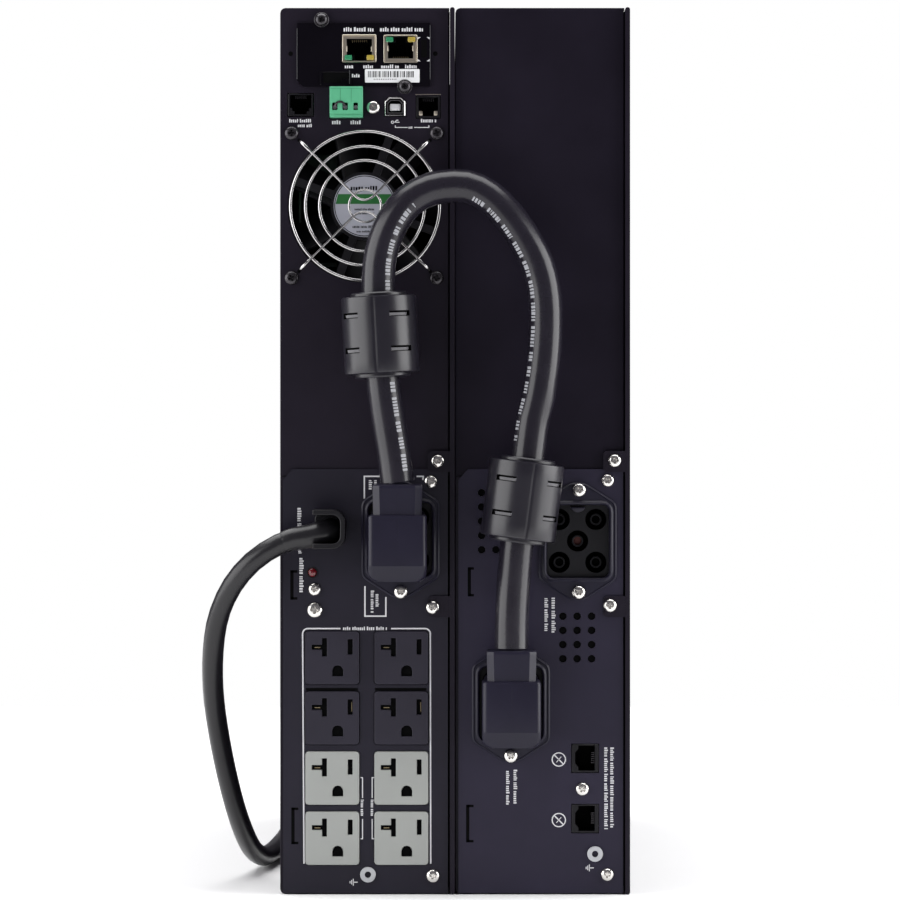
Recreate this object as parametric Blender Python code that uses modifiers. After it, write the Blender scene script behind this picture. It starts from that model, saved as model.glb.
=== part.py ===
"""Rack UPS standing on its side next to its matching battery cabinet, joined by a battery cable.

Frame: metres, +Z up. The rear panels face -Y, the bezels face +Y, and the UPS is the housing on
the -X side. The origin is on the standing surface, in the middle of the two housings' box.
Depths are counted from the rear panels' outer faces: positive goes into a housing.
"""

import math

import bmesh
import bpy
from mathutils import Matrix, Vector

# ------------------------------------------------------------------ driving dimensions
UNIT_WIDTH = 0.08685  # two rack units less clearance
UNIT_HEIGHT = 0.441  # the rack width, upright here
UNIT_DEPTH = 0.522  # rear face to bezel face
UNIT_GAP = 0.0003
HOOD_REACH = 0.026  # the cord's strain relief stands this far out of the rear face

SHEET = 0.0012  # rear panels and tabs
WALL = 0.0015  # chassis and trays
COVER = 0.0024
GROOVE = 0.0007  # shadow gap between a cover and its rear panel
FIT = 0.0003  # gap between neighbours
OVERLAP = 0.0005  # how far joined shapes run into each other

REAR = -(UNIT_DEPTH + HOOD_REACH) / 2 + HOOD_REACH
FRONT = REAR + UNIT_DEPTH
UPS_LEFT = -UNIT_GAP / 2 - UNIT_WIDTH
CABINET_LEFT = UNIT_GAP / 2

PLATE_FACE = -0.0015  # depth of the lower plates' outer faces
SPLIT_Z = 0.2114  # top edge of the lower plates
PANEL_LOW_Z = 0.2080  # rear panels end here, behind the lower plates
LIP = 0.0035  # a chassis turned inwards round its lower plate
BEZEL_DEPTH = 0.028
BEZEL_WALL = 0.0025

FAN_X, FAN_Z = -0.0450, 0.3424
FAN_SIZE = 0.080
FAN_BORE = 0.0380

BATTERY = (0.065, 0.302, 0.188)  # a pack of four batteries, X, Y, Z
TRAY_WIDTH = 0.192
TRAY_OFFSET = 0.0036  # from a housing's side to its tray's floor
TRAY_SIDES = 0.040  # height of a tray's long walls
TRAY_ENDS = 0.066  # height of its end walls
DOOR_HEIGHT = 0.196
LOWER_BAY_Z = 0.038
UPPER_BAY_Z = 0.239

OUTLET_SIZE = (0.0268, 0.0265)
OUTLET_COLUMNS = (-0.0610, -0.0267)
OUTLET_FIRST_Z = 0.0279
OUTLET_PITCH = 0.0299

CABLE_R = 0.00835
CABLE_DEPTH = -0.0235
FERRITE_R = 0.0185
FERRITE_LENGTH = 0.038
FERRITE_COLLAR_R = 0.01385

CORD_R = 0.00525
COIL_INNER_R = 0.0420
COIL_OUTER_R = 0.0735
COIL_HEIGHT = 0.0212
COIL_X = -0.0252
COIL_Y = FRONT + 0.0860


# ------------------------------------------------------------------ scene and materials
def clear_scene():
    for item in list(bpy.data.objects):
        bpy.data.objects.remove(item, do_unlink=True)


def new_collection(name):
    group = bpy.data.collections.new(name)
    bpy.context.scene.collection.children.link(group)
    return group


def new_material(name, colour, roughness, metallic=0.0):
    material = bpy.data.materials.new(name)
    material.use_nodes = True
    shader = material.node_tree.nodes["Principled BSDF"]
    shader.inputs["Base Color"].default_value = (*colour, 1.0)
    shader.inputs["Roughness"].default_value = roughness
    shader.inputs["Metallic"].default_value = metallic
    return material


clear_scene()
PARTS = new_collection("rackmount_ups")

BLACK_STEEL = new_material("black_steel", (0.022, 0.020, 0.028), 0.55, 0.3)
ZINC_STEEL = new_material("zinc_steel", (0.55, 0.56, 0.57), 0.38, 1.0)
BRIGHT_WIRE = new_material("bright_wire", (0.75, 0.75, 0.76), 0.2, 1.0)
BLACK_PLASTIC = new_material("black_plastic", (0.018, 0.018, 0.020), 0.5)
GREY_PLASTIC = new_material("grey_plastic", (0.36, 0.37, 0.36), 0.5)
GREEN_PLASTIC = new_material("green_plastic", (0.08, 0.48, 0.22), 0.45)
BATTERY_CASE = new_material("battery_case", (0.06, 0.06, 0.07), 0.6)
BOARD_GREEN = new_material("board_green", (0.02, 0.16, 0.07), 0.45)
CORE_STEEL = new_material("core_steel", (0.20, 0.12, 0.06), 0.5, 0.6)
TAN_METAL = new_material("jack_metal", (0.60, 0.52, 0.38), 0.35, 1.0)
CABLE_JACKET = new_material("cable_jacket", (0.030, 0.030, 0.032), 0.35)
LED_RED = new_material("led_red", (0.75, 0.03, 0.02), 0.2)


# ------------------------------------------------------------------ outlines
def arc(centre, radius, start, end, steps):
    """Points on an arc, in degrees, both ends included."""
    points = []
    for i in range(steps + 1):
        angle = math.radians(start + (end - start) * i / steps)
        points.append((centre[0] + radius * math.cos(angle), centre[1] + radius * math.sin(angle)))
    return points


def circle(x, z, radius, sides=24):
    return arc((x, z), radius, 0, 360 - 360 / sides, sides - 1)


def rect(x0, z0, x1, z1):
    return [(x0, z0), (x1, z0), (x1, z1), (x0, z1)]


def round_rect(x0, z0, x1, z1, radii, steps=3):
    """Rectangle with corner radii: one number, or low left, low right, top right, top left."""
    if not isinstance(radii, tuple):
        radii = (radii,) * 4
    corners = (((x0, z0), (1, 1)), ((x1, z0), (-1, 1)), ((x1, z1), (-1, -1)), ((x0, z1), (1, -1)))
    points = []
    for turn, (((x, z), (to_x, to_z)), radius) in enumerate(zip(corners, radii)):
        if radius == 0:
            points.append((x, z))
            continue
        start = 180 + 90 * turn
        points += arc((x + to_x * radius, z + to_z * radius), radius, start, start + 90, steps)
    return points


def centred(x, z, width, height):
    return (x - width / 2, z - height / 2, x + width / 2, z + height / 2)


def grown(box, by):
    return (box[0] - by, box[1] - by, box[2] + by, box[3] + by)


# ------------------------------------------------------------------ solids
def as_object(name, mesh, material):
    item = bpy.data.objects.new(name, mesh)
    PARTS.objects.link(item)
    if material and not mesh.materials:
        mesh.materials.append(material)
    return item


def to_mesh(item):
    """Replace a curve or a modified object by the mesh that it evaluates to."""
    name, matrix = item.name, item.matrix_world.copy()
    depsgraph = bpy.context.evaluated_depsgraph_get()
    mesh = bpy.data.meshes.new_from_object(item.evaluated_get(depsgraph))
    material = item.data.materials[0] if item.data.materials else None
    bpy.data.objects.remove(item, do_unlink=True)
    work = bmesh.new()
    work.from_mesh(mesh)
    bmesh.ops.remove_doubles(work, verts=work.verts, dist=1e-6)
    bmesh.ops.recalc_face_normals(work, faces=work.faces)
    work.to_mesh(mesh)
    work.free()
    mesh.transform(matrix)
    mesh.materials.clear()
    return as_object(name, mesh, material)


AXIS_TURN = {
    "X": Matrix(((0, 0, 1, 0), (1, 0, 0, 0), (0, 1, 0, 0), (0, 0, 0, 1))),
    "Y": Matrix(((1, 0, 0, 0), (0, 0, -1, 0), (0, 1, 0, 0), (0, 0, 0, 1))),
    "Z": Matrix.Identity(4),
}


def prism(name, outlines, start, end, material, axis="Y"):
    """Extrude flat outlines (outer loops and holes) from start to end along an axis.

    The outlines are (x, z) points for axis Y, (y, z) for X, and (x, y) for Z.
    """
    curve = bpy.data.curves.new(name, "CURVE")
    curve.dimensions = "2D"
    curve.fill_mode = "BOTH"
    curve.extrude = abs(end - start) / 2
    for points in outlines:
        spline = curve.splines.new("POLY")
        spline.points.add(len(points) - 1)
        for target, (a, b) in zip(spline.points, points):
            target.co = (a, b, 0.0, 1.0)
        spline.use_cyclic_u = True
    curve.materials.append(material)
    item = bpy.data.objects.new(name, curve)
    PARTS.objects.link(item)
    middle = Vector((0, 0, 0))
    middle["XYZ".index(axis)] = (start + end) / 2
    item.matrix_world = Matrix.Translation(middle) @ AXIS_TURN[axis]
    bpy.context.view_layer.update()
    return to_mesh(item)


def box(name, low, high, material):
    work = bmesh.new()
    bmesh.ops.create_cube(work, size=1.0)
    size = [b - a for a, b in zip(low, high)]
    middle = [(a + b) / 2 for a, b in zip(low, high)]
    bmesh.ops.scale(work, vec=size, verts=work.verts)
    bmesh.ops.translate(work, vec=middle, verts=work.verts)
    mesh = bpy.data.meshes.new(name)
    work.to_mesh(mesh)
    work.free()
    return as_object(name, mesh, material)


def cylinder(name, x, z, radius, start, end, material, sides=20):
    """Round bar along Y, between two Y positions."""
    return prism(name, [circle(x, z, radius, sides)], start, end, material)


def wire(name, points, radius, material, resolution=2, closed=False):
    """Round tube through points, as a mesh."""
    curve = bpy.data.curves.new(name, "CURVE")
    curve.dimensions = "3D"
    curve.bevel_depth = radius
    curve.bevel_resolution = resolution
    curve.use_fill_caps = not closed
    spline = curve.splines.new("POLY")
    spline.points.add(len(points) - 1)
    for target, point in zip(spline.points, points):
        target.co = (*point, 1.0)
    spline.use_cyclic_u = closed
    curve.materials.append(material)
    item = bpy.data.objects.new(name, curve)
    PARTS.objects.link(item)
    bpy.context.view_layer.update()
    return to_mesh(item)


def boolean(target, tools, operation):
    """Join tools to a target, or cut it with them, and remove them."""
    for tool in tools:
        modifier = target.modifiers.new("solid", "BOOLEAN")
        modifier.operation = operation
        modifier.object = tool
    bpy.context.view_layer.update()
    result = to_mesh(target)
    for tool in tools:
        bpy.data.objects.remove(tool, do_unlink=True)
    return result


def join(target, *tools):
    return boolean(target, tools, "UNION")


def cut(target, *tools):
    return boolean(target, tools, "DIFFERENCE")


def pocket(name, body, mouth, start, floor, end, material, axis="Y"):
    """Block with one or more flat-bottomed recesses that open at its start."""
    block = prism(name, [body], start, end, material, axis)
    recess = prism("recess", mouth, start - 0.001, floor, material, axis)
    return cut(block, recess)


def smooth(item, angle=35):
    item.data.shade_smooth()
    item.data.set_sharp_from_angle(angle=math.radians(angle))
    return item


def route(points, spacing):
    """Evenly spaced points on a smooth curve through a route's own points."""
    ends = [Vector(points[0]) * 2 - Vector(points[1]), Vector(points[-1]) * 2 - Vector(points[-2])]
    knots = [ends[0]] + [Vector(p) for p in points] + [ends[1]]
    fine = []
    for a, b, c, d in zip(knots, knots[1:], knots[2:], knots[3:]):
        for step in range(40):
            t = step / 40
            bend = (2 * a - 5 * b + 4 * c - d) * t**2 + (3 * b - a - 3 * c + d) * t**3
            fine.append(0.5 * (2 * b + (c - a) * t + bend))
    fine.append(knots[-2])
    lengths = [0.0]
    for a, b in zip(fine, fine[1:]):
        lengths.append(lengths[-1] + (b - a).length)
    count = max(2, round(lengths[-1] / spacing))
    result, index = [], 0
    for i in range(count + 1):
        wanted = lengths[-1] * i / count
        while index < len(fine) - 2 and lengths[index + 1] < wanted:
            index += 1
        share = (wanted - lengths[index]) / (lengths[index + 1] - lengths[index])
        result.append(fine[index].lerp(fine[index + 1], share))
    return result


# ------------------------------------------------------------------ housings
def panel_right(left):
    """X of the rear panels' right edges, a groove short of the cover."""
    return left + UNIT_WIDTH - COVER - GROOVE


def make_chassis(prefix, left):
    """Sheet tray: the wide floor, the two long sides, and a lip behind the lower plate's edges."""
    arm = left + UNIT_WIDTH - COVER - FIT
    bend = 0.0025
    top = UNIT_HEIGHT
    profile = [(arm, 0.0)]
    profile += arc((left + bend, bend), bend, 270, 180, 3)
    profile += arc((left + bend, top - bend), bend, 180, 90, 3)
    profile += [(arm, top), (arm, top - WALL), (left + WALL, top - WALL), (left + WALL, WALL), (arm, WALL)]
    start = REAR + SHEET + FIT
    end = FRONT - BEZEL_DEPTH - FIT
    chassis = prism(prefix + "_chassis", [profile], start, end, BLACK_STEEL)
    lip = arc((left + bend, bend), bend, 180, 270, 3)
    lip += [(arm, 0.0), (arm, LIP), (left + LIP, LIP), (left + LIP, PANEL_LOW_Z - FIT), (left, PANEL_LOW_Z - FIT)]
    return join(chassis, prism("lip", [lip], REAR, start + OVERLAP, None))


def make_cover(prefix, left):
    """Lid slab with two tabs turned onto the rear plates."""
    right = left + UNIT_WIDTH
    start = REAR + PLATE_FACE - FIT - SHEET
    end = FRONT - BEZEL_DEPTH - FIT
    slab = round_rect(right - COVER, 0.0, right, UNIT_HEIGHT, COVER * 0.45)
    cover = prism(prefix + "_cover", [slab], start, end, BLACK_STEEL)
    tabs = []
    for low, high in ((0.2100, 0.2204), (0.1378, 0.1483)):
        shape = round_rect(right - 0.0133, low, right - COVER / 2, high, (0.002, 0, 0, 0.002))
        tabs.append(prism("tab", [shape], start + 1e-4, start + SHEET, BLACK_STEEL))
    return join(cover, *tabs)


def make_rear_panel(prefix, left, holes):
    high = UNIT_HEIGHT - FIT
    edge = round_rect(left, PANEL_LOW_Z, panel_right(left), high, (0, 0, 0.0008, 0.0025))
    return prism(prefix + "_rear_panel", [edge] + holes, REAR, REAR + SHEET, BLACK_STEEL)


def make_lower_plate(name, left, holes):
    """Plate over the lower half of a rear panel, one top corner cut off."""
    x0, x1, z0 = left + 0.0015, panel_right(left) - FIT, 0.0006
    edge = [(x0, z0), (x1, z0), (x1, SPLIT_Z), (x0 + 0.0048, SPLIT_Z), (x0, SPLIT_Z - 0.0054)]
    return prism(name, [edge] + holes, REAR + PLATE_FACE, REAR - FIT, BLACK_STEEL)


def lanced_slit(x0, z0, x1, z1, width=0.0009):
    """Outline of a slit shaped like an opening bracket."""
    inner = x0 + width
    low, high = z0 + width, z1 - width
    return [(x0, z0), (x1, z0), (x1, low), (inner, low), (inner, high), (x1, high), (x1, z1), (x0, z1)]


def louvres(x0, x1, z0, z1, count, height=0.0032):
    """Slot outlines in a row up a bezel."""
    pitch = (z1 - z0) / count
    slots = []
    for i in range(count):
        middle = z0 + pitch * (i + 0.5)
        slots.append(round_rect(x0, middle - height / 2, x1, middle + height / 2, height * 0.3, 1))
    return slots


def make_bezel(prefix, left, windows):
    """Plastic front: a deep rim with a thin face, open where doors and panels sit."""
    x0, x1 = left + FIT, left + UNIT_WIDTH - FIT
    start = FRONT - BEZEL_DEPTH
    outer = round_rect(x0, FIT, x1, UNIT_HEIGHT - FIT, 0.004)
    inner = rect(x0 + BEZEL_WALL, BEZEL_WALL, x1 - BEZEL_WALL, UNIT_HEIGHT - BEZEL_WALL)
    bezel = pocket(prefix + "_bezel", outer, [inner], start, FRONT - BEZEL_WALL, FRONT, BLACK_PLASTIC)
    return cut(bezel, prism("windows", windows, FRONT - 0.004, FRONT + 0.001, None))


DOOR_SIDE = 0.0034  # from a housing's side to its battery door
DOOR_DEPTH = 0.022


def door_window(left, low):
    """Opening in a bezel for a battery door, a gap wider than the door."""
    x0, x1 = left + DOOR_SIDE - 0.0006, left + UNIT_WIDTH - DOOR_SIDE + 0.0006
    return rect(x0, low - 0.0006, x1, low + DOOR_HEIGHT + 0.0006)


def make_door(name, left, low):
    """Battery door: shallow moulding with louvres and a finger slot."""
    x0, x1 = left + DOOR_SIDE, left + UNIT_WIDTH - DOOR_SIDE
    high = low + DOOR_HEIGHT
    middle = (x0 + x1) / 2
    outer = round_rect(x0, low, x1, high, 0.003)
    inner = rect(x0 + 0.0022, low + 0.0022, x1 - 0.0022, high - 0.0022)
    finger = round_rect(*centred(middle, high - 0.014, 0.046, 0.012), 0.004)
    slots = louvres(x0 + 0.012, x1 - 0.012, low + 0.012, high - 0.030, 9)
    door = pocket(name, outer, [inner], FRONT - DOOR_DEPTH, FRONT - BEZEL_WALL, FRONT, BLACK_PLASTIC)
    return cut(door, prism("slots", [finger] + slots, FRONT - 0.004, FRONT + 0.001, None))


def make_tray(name, left, low):
    """Sheet tray that carries a battery pack and slides out of the front."""
    x0 = left + TRAY_OFFSET
    z0, z1 = low + 0.002, low + 0.002 + TRAY_WIDTH
    end = FRONT - BEZEL_DEPTH + 0.002
    start = end - BATTERY[1] - 2 * WALL - 2 * FIT
    tray = box(name, (x0, start, z0), (x0 + TRAY_ENDS, end, z1), ZINC_STEEL)
    inside = box("inside", (x0 + WALL, start + WALL, z0 + WALL), (x0 + 0.1, end - WALL, z1 - WALL), None)
    lip = WALL + 0.004
    relief = box("relief", (x0 + TRAY_SIDES, start + lip, z0 - 0.01), (x0 + 0.1, end - lip, z1 + 0.01), None)
    return cut(tray, inside, relief)


def make_pack(name, left, low):
    """Four batteries in two by two, strapped into one block."""
    x0 = left + TRAY_OFFSET + WALL + FIT
    z0 = low + 0.002 + (TRAY_WIDTH - BATTERY[2]) / 2
    end = FRONT - BEZEL_DEPTH + 0.002 - WALL - FIT
    low_corner = (x0, end - BATTERY[1], z0)
    high_corner = (x0 + BATTERY[0], end, z0 + BATTERY[2])
    pack = box(name, low_corner, high_corner, BATTERY_CASE)
    groove, past = 0.0015, 0.004
    middle_y, middle_z = end - BATTERY[1] / 2, z0 + BATTERY[2] / 2
    face = high_corner[0]
    shallow, deep = face - past, face + past
    across = box("groove", (shallow, middle_y - groove, z0 - past), (deep, middle_y + groove, z0 + 1), None)
    along = box("groove", (shallow, end - 1, middle_z - groove), (deep, end + past, middle_z + groove), None)
    return cut(pack, across, along)


# ------------------------------------------------------------------ rear fittings
def slot_jack(name, centre, outer, mouth, key, front, depth, material, flip=1):
    """Modular jack: a block with a keyed mouth. flip=-1 puts the key at the bottom."""
    x, z = centre
    body = rect(*centred(x, z, *outer))
    half_w, half_h = mouth[0] / 2, mouth[1] / 2
    key_w, key_h = key[0] / 2, key[1]
    draft = half_h + 0.0001
    shape = [(-half_w, -half_h), (half_w, -half_h), (half_w, half_h), (key_w, draft)]
    shape += [(key_w, half_h + key_h), (-key_w, half_h + key_h), (-key_w, draft), (-half_w, half_h)]
    opening = [(x + a, z + flip * (b - key_h / 2)) for a, b in shape]
    start = REAR + front
    return pocket(name, body, [opening], start, start + depth * 0.8, start + depth, material)


def turned_jack(name, centre, outer, mouth, front, depth, material):
    """Plain small jack with a rectangular mouth, for cables that lie along the panel."""
    x, z = centre
    body = rect(*centred(x, z, *outer))
    opening = rect(*centred(x, z, *mouth))
    start = REAR + front
    return pocket(name, body, [opening], start, start + depth - 0.003, start + depth, material)


SOCKET_HALF_WIDTH = 0.01945
SOCKET_SHOULDER = 0.0190
SOCKET_APEX = 0.0292
SOCKET_MOUTH = (0.0310, 0.0363)
SOCKET_BODY = (0.0340, 0.0393)
SOCKET_CONTACTS = ((-0.0091, 0.0108), (0.0091, 0.0108), (0.0, 0.0001), (-0.0091, -0.0105), (0.0091, -0.0105))


def make_socket(name, x, z):
    """Battery connector: pointed flange, keyed recess and five round contacts."""
    w, s, a = SOCKET_HALF_WIDTH, SOCKET_SHOULDER, SOCKET_APEX
    tip = 0.0035
    flange = [(-w, -s), (-tip, -a), (tip, -a), (w, -s), (w, s), (tip, a), (-tip, a), (-w, s)]
    flange = [(x + px, z + pz) for px, pz in flange]
    mouth = round_rect(*centred(x, z, *SOCKET_MOUTH), 0.0025)
    body = round_rect(*centred(x, z, *SOCKET_BODY), 0.003)
    face = REAR + PLATE_FACE - FIT - 0.0024
    back = REAR + 0.0220
    socket = prism(name, [flange], face, face + 0.0024, BLACK_PLASTIC)
    socket = join(socket, prism("shell", [body], face + 0.0020, back, None))
    socket = cut(socket, prism("recess", [mouth], face - 0.001, back - 0.002, None))
    contacts = []
    for dx, dz in SOCKET_CONTACTS:
        contacts.append(cylinder("contact", x + dx, z + dz, 0.005, face + 0.0060, back - 0.001, None, 10))
    return smooth(join(socket, *contacts))


def make_outlet_mesh():
    """One receptacle with a T slot, a straight slot and a D-shaped ground hole."""
    width, height = OUTLET_SIZE
    face, floor, back = -0.0010, 0.0080, 0.0200
    body = round_rect(*centred(0, 0, width, height), 0.0015, 2)
    tee = [
        (-0.0051, 0.0008), (-0.0027, 0.0008), (-0.0027, 0.0098), (-0.0051, 0.0098),
        (-0.0051, 0.0065), (-0.0102, 0.0065), (-0.0102, 0.0041), (-0.0051, 0.0041),
    ]
    straight = rect(*centred(0.0089, 0.0055, 0.0024, 0.0075))
    ground = [(0.0, -0.0091), (0.0054, -0.0091), (0.0054, -0.0064)]
    ground += arc((0.0027, -0.0064), 0.0027, 30, 180, 5)
    outlet = pocket("outlet_mesh", body, [tee, straight, ground], face, floor, back, GREY_PLASTIC)
    mesh = outlet.data
    bpy.data.objects.remove(outlet, do_unlink=True)
    return mesh


def outlet_places():
    """Column, row and centre of each receptacle, rows counted from the bottom."""
    for column, x in enumerate(OUTLET_COLUMNS):
        for row in range(4):
            yield column, row, x, OUTLET_FIRST_Z + row * OUTLET_PITCH


def make_outlets():
    mesh = make_outlet_mesh()
    for column, row, x, z in outlet_places():
        outlet = as_object(f"outlet_{'ab'[column]}{row + 1}", mesh, None)
        outlet.location = (x, REAR + PLATE_FACE, z)


def make_strain_relief():
    """Right-angle hood that turns the power cord towards -X."""
    x0, x1, z0, z1 = -0.0702, -0.0522, 0.1721, 0.1915
    outer, inner = REAR - HOOD_REACH, REAR + PLATE_FACE - FIT
    hood = prism("power_cord_hood", [round_rect(x0, z0, x1, z1, 0.0045)], outer, inner, BLACK_PLASTIC)
    stem = cylinder("stem", (x0 + x1) / 2, (z0 + z1) / 2, 0.0060, REAR - 0.0025, REAR + 0.0120, BLACK_PLASTIC)
    return smooth(join(hood, stem))


def make_status_led():
    front, back = REAR + PLATE_FACE - 0.0014, REAR + 0.0060
    return smooth(cylinder("status_led", *LED_CENTRE, 0.0023, front, back, LED_RED, 16))


def make_usb_socket():
    x0, z0, x1, z1 = -0.0350, 0.3870, -0.0247, 0.3964
    wall, chamfer = 0.0008, 0.0016
    shell = [
        (x0, z0), (x1, z0), (x1, z1 - chamfer),
        (x1 - chamfer, z1), (x0 + chamfer, z1), (x0, z1 - chamfer),
    ]
    inner = [
        (x0 + wall, z0 + wall), (x1 - wall, z0 + wall), (x1 - wall, z1 - chamfer),
        (x1 - chamfer, z1 - wall), (x0 + chamfer, z1 - wall), (x0 + wall, z1 - chamfer),
    ]
    socket = pocket("usb_socket", shell, [inner], REAR - 0.0008, REAR + 0.0100, REAR + 0.0150, ZINC_STEEL)
    middle = ((x0 + x1) / 2, (z0 + z1) / 2)
    tongue = prism("tongue", [rect(*centred(*middle, 0.0052, 0.0030))], REAR + 0.0008, REAR + 0.0110, None)
    return join(socket, tongue)


def make_terminal_plug():
    """Pluggable screw-terminal block with three wire entries."""
    x0, z0, x1, z1 = -0.0622, 0.3861, -0.0458, 0.4013
    entries = []
    for i in range(3):
        middle = x0 + (x1 - x0) * (i + 0.5) / 3
        entries.append(rect(*centred(middle, z0 + 0.0042, 0.0030, 0.0036)))
    body = rect(x0, z0, x1, z1)
    return pocket("terminal_plug", body, entries, REAR - 0.0070, REAR - 0.0010, REAR + 0.0060, GREEN_PLASTIC)


def make_ground_nut(name, x, z):
    """Round threaded boss for a bonding screw, flanged onto a lower plate."""
    face = REAR + PLATE_FACE - FIT
    outlines = [circle(x, z, 0.0039, 20), circle(x, z, 0.0016, 12)]
    return smooth(prism(name, outlines, face - 0.0010, face, ZINC_STEEL))


# ------------------------------------------------------------------ fan and network card
GUARD_RINGS = (0.0373, 0.0299, 0.0229, 0.0080)
GUARD_WIRE = 0.0008
GUARD_DEPTH = -0.0052


def make_fan_guard():
    """Four wire rings on two bent arms, which turn back near the middle."""
    y = REAR + GUARD_DEPTH
    rings = []
    for radius in GUARD_RINGS:
        points = [(FAN_X + a, y, FAN_Z + b) for a, b in circle(0, 0, radius, 10 if radius < 0.01 else 24)]
        rings.append(wire("ring", points, GUARD_WIRE, BRIGHT_WIRE, 1, closed=True))
    arms = []
    arm_y = y - GUARD_WIRE * 1.1
    for side in (1, -1):
        reach = [(-0.0325, 0.0325, REAR - 0.0010), (-0.0305, 0.0305, arm_y), (-0.0050, 0.0060, arm_y)]
        turn = [(-0.0021, 0.0032, arm_y), (0.0021, 0.0032, arm_y)]
        back = [(-a, b, c) for a, b, c in reversed(reach)]
        points = [(FAN_X + a, c, FAN_Z + side * b) for a, b, c in reach + turn + back]
        arms.append(wire("fan_guard" if side == 1 else "arm", points, GUARD_WIRE, BRIGHT_WIRE, 1))
    return smooth(join(arms[0], arms[1], *rings), 60)


def make_fan_frame():
    half = FAN_BORE + 0.001
    start, end = REAR + SHEET + FIT, REAR + SHEET + FIT + 0.0254
    outer = round_rect(*centred(FAN_X, FAN_Z, FAN_SIZE, FAN_SIZE), 0.004)
    bore = circle(FAN_X, FAN_Z, FAN_BORE, 34)
    frame = prism("fan_frame", [outer, bore], start, end, BLACK_PLASTIC)
    hub = cylinder("hub", FAN_X, FAN_Z, 0.0170, start + 0.0002, start + 0.0032, BLACK_PLASTIC, 24)
    struts = []
    for angle in (20, 110):
        strut = box("strut", (-half, start + 0.0004, -0.0020), (half, start + 0.0028, 0.0020), BLACK_PLASTIC)
        spin = Matrix.Rotation(math.radians(angle), 4, "Y")
        strut.data.transform(Matrix.Translation((FAN_X, 0, FAN_Z)) @ spin)
        struts.append(strut)
    return smooth(join(frame, hub, *struts))


def make_fan_rotor():
    """Seven pitched blades on a hub, built on the fan's own axis."""
    count, front, back = 7, 0.0085, 0.0225
    rotor = cylinder("fan_rotor", 0, 0, 0.0165, front - 0.001, back + 0.0010, BLACK_PLASTIC, 28)
    blades = []
    for i in range(count):
        work = bmesh.new()
        bmesh.ops.create_cube(work, size=1.0)
        bmesh.ops.scale(work, vec=(0.0220, 0.0015, 0.0190), verts=work.verts)
        pitch = Matrix.Rotation(math.radians(42), 4, "X")
        out = Matrix.Translation((0.0262, (front + back) / 2, 0))
        turn = Matrix.Rotation(math.tau * i / count, 4, "Y")
        mesh = bpy.data.meshes.new("blade")
        work.to_mesh(mesh)
        work.free()
        mesh.transform(turn @ out @ pitch)
        blades.append(as_object("blade", mesh, BLACK_PLASTIC))
    rotor = join(rotor, *blades)
    rim = prism("rim", [circle(0, 0, 0.0500, 36), circle(0, 0, 0.0371, 36)], front - 0.01, back + 0.01, None)
    rotor = smooth(cut(rotor, rim))
    rotor.location = (FAN_X, REAR, FAN_Z)
    return rotor


CARD_JACK_A = (-0.0476, 0.4206)
CARD_JACK_B = (-0.0271, 0.4204)
CARD_JACK_SIZE = (0.0168, 0.0138)
CARD_BOARD_Z = 0.4118


def make_network_card():
    """Slot-in card: a steel plate with its board standing behind it."""
    x0, z0, x1, z1 = -0.0786, 0.4016, -0.0124, 0.4333
    edge = [(x0 + 0.003, z0), (x1, z0), (x1, z1), (x0, z1), (x0, z0 + 0.003)]
    holes = []
    for x, z in (CARD_JACK_A, CARD_JACK_B):
        holes.append(rect(*grown(centred(x, z, *CARD_JACK_SIZE), FIT)))
    plate = prism("network_card", [edge] + holes, REAR - FIT - SHEET, REAR - FIT, BLACK_STEEL)
    board_low = (-0.0755, REAR - SHEET, CARD_BOARD_Z - 0.0016)
    board_high = (-0.0155, REAR + 0.1300, CARD_BOARD_Z)
    board = box("board", board_low, board_high, BLACK_STEEL)
    chip_low = (-0.0520, REAR + 0.0600, CARD_BOARD_Z - 0.0005)
    chip_high = (-0.0320, REAR + 0.0800, CARD_BOARD_Z + 0.0025)
    chip = box("chip", chip_low, chip_high, None)
    return join(plate, board, chip)


# ------------------------------------------------------------------ inside the UPS
def make_main_board(left):
    """Power board on standoffs with its heat sink, capacitors and relays."""
    x0 = left + 0.0080
    y0, y1, z0, z1 = REAR + 0.036, FRONT - 0.040, 0.2480, 0.3960
    board = box("main_board", (x0, y0, z0), (x0 + 0.0016, y1, z1), BOARD_GREEN)
    face = x0 + 0.0011
    blocks = []
    sink_y = y0 + 0.020
    blocks.append(box("sink", (face, sink_y, z0 + 0.010), (face + 0.030, sink_y + 0.140, z0 + 0.016), None))
    for i in range(5):
        fin_z = z0 + 0.026 + i * 0.010
        blocks.append(box("fin", (face, sink_y, fin_z), (face + 0.026, sink_y + 0.110, fin_z + 0.0025), None))
    for i in range(4):
        y = y0 + 0.200 + i * 0.034
        blocks.append(prism("capacitor", [circle(y, z1 - 0.030, 0.0125, 16)], face, face + 0.040, None, "X"))
    for i in range(3):
        y = y0 + 0.030 + i * 0.040
        blocks.append(box("relay", (face, y, z1 - 0.040), (face + 0.018, y + 0.026, z1 - 0.024), None))
    return smooth(join(board, *blocks))


def make_transformer(left):
    """Laminated core with its winding, bolted to the chassis floor."""
    x0 = left + WALL + FIT
    y0, z0 = FRONT - BEZEL_DEPTH - 0.1500, 0.2800
    lift = 0.0120
    core = box("transformer", (x0 + lift, y0, z0), (x0 + lift + 0.052, y0 + 0.090, z0 + 0.075), CORE_STEEL)
    winding_low = (x0 + lift + 0.006, y0 - 0.014, z0 + 0.018)
    winding_high = (x0 + lift + 0.046, y0 + 0.104, z0 + 0.057)
    winding = box("winding", winding_low, winding_high, None)
    return join(core, winding)


# ------------------------------------------------------------------ control panel
PANEL_LOW, PANEL_HIGH = 0.2900, 0.3990
BUTTON_R = 0.0056
BUTTON_Z = (0.3120, 0.3330, 0.3540)
LED_ROW_Z = 0.3800


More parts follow.
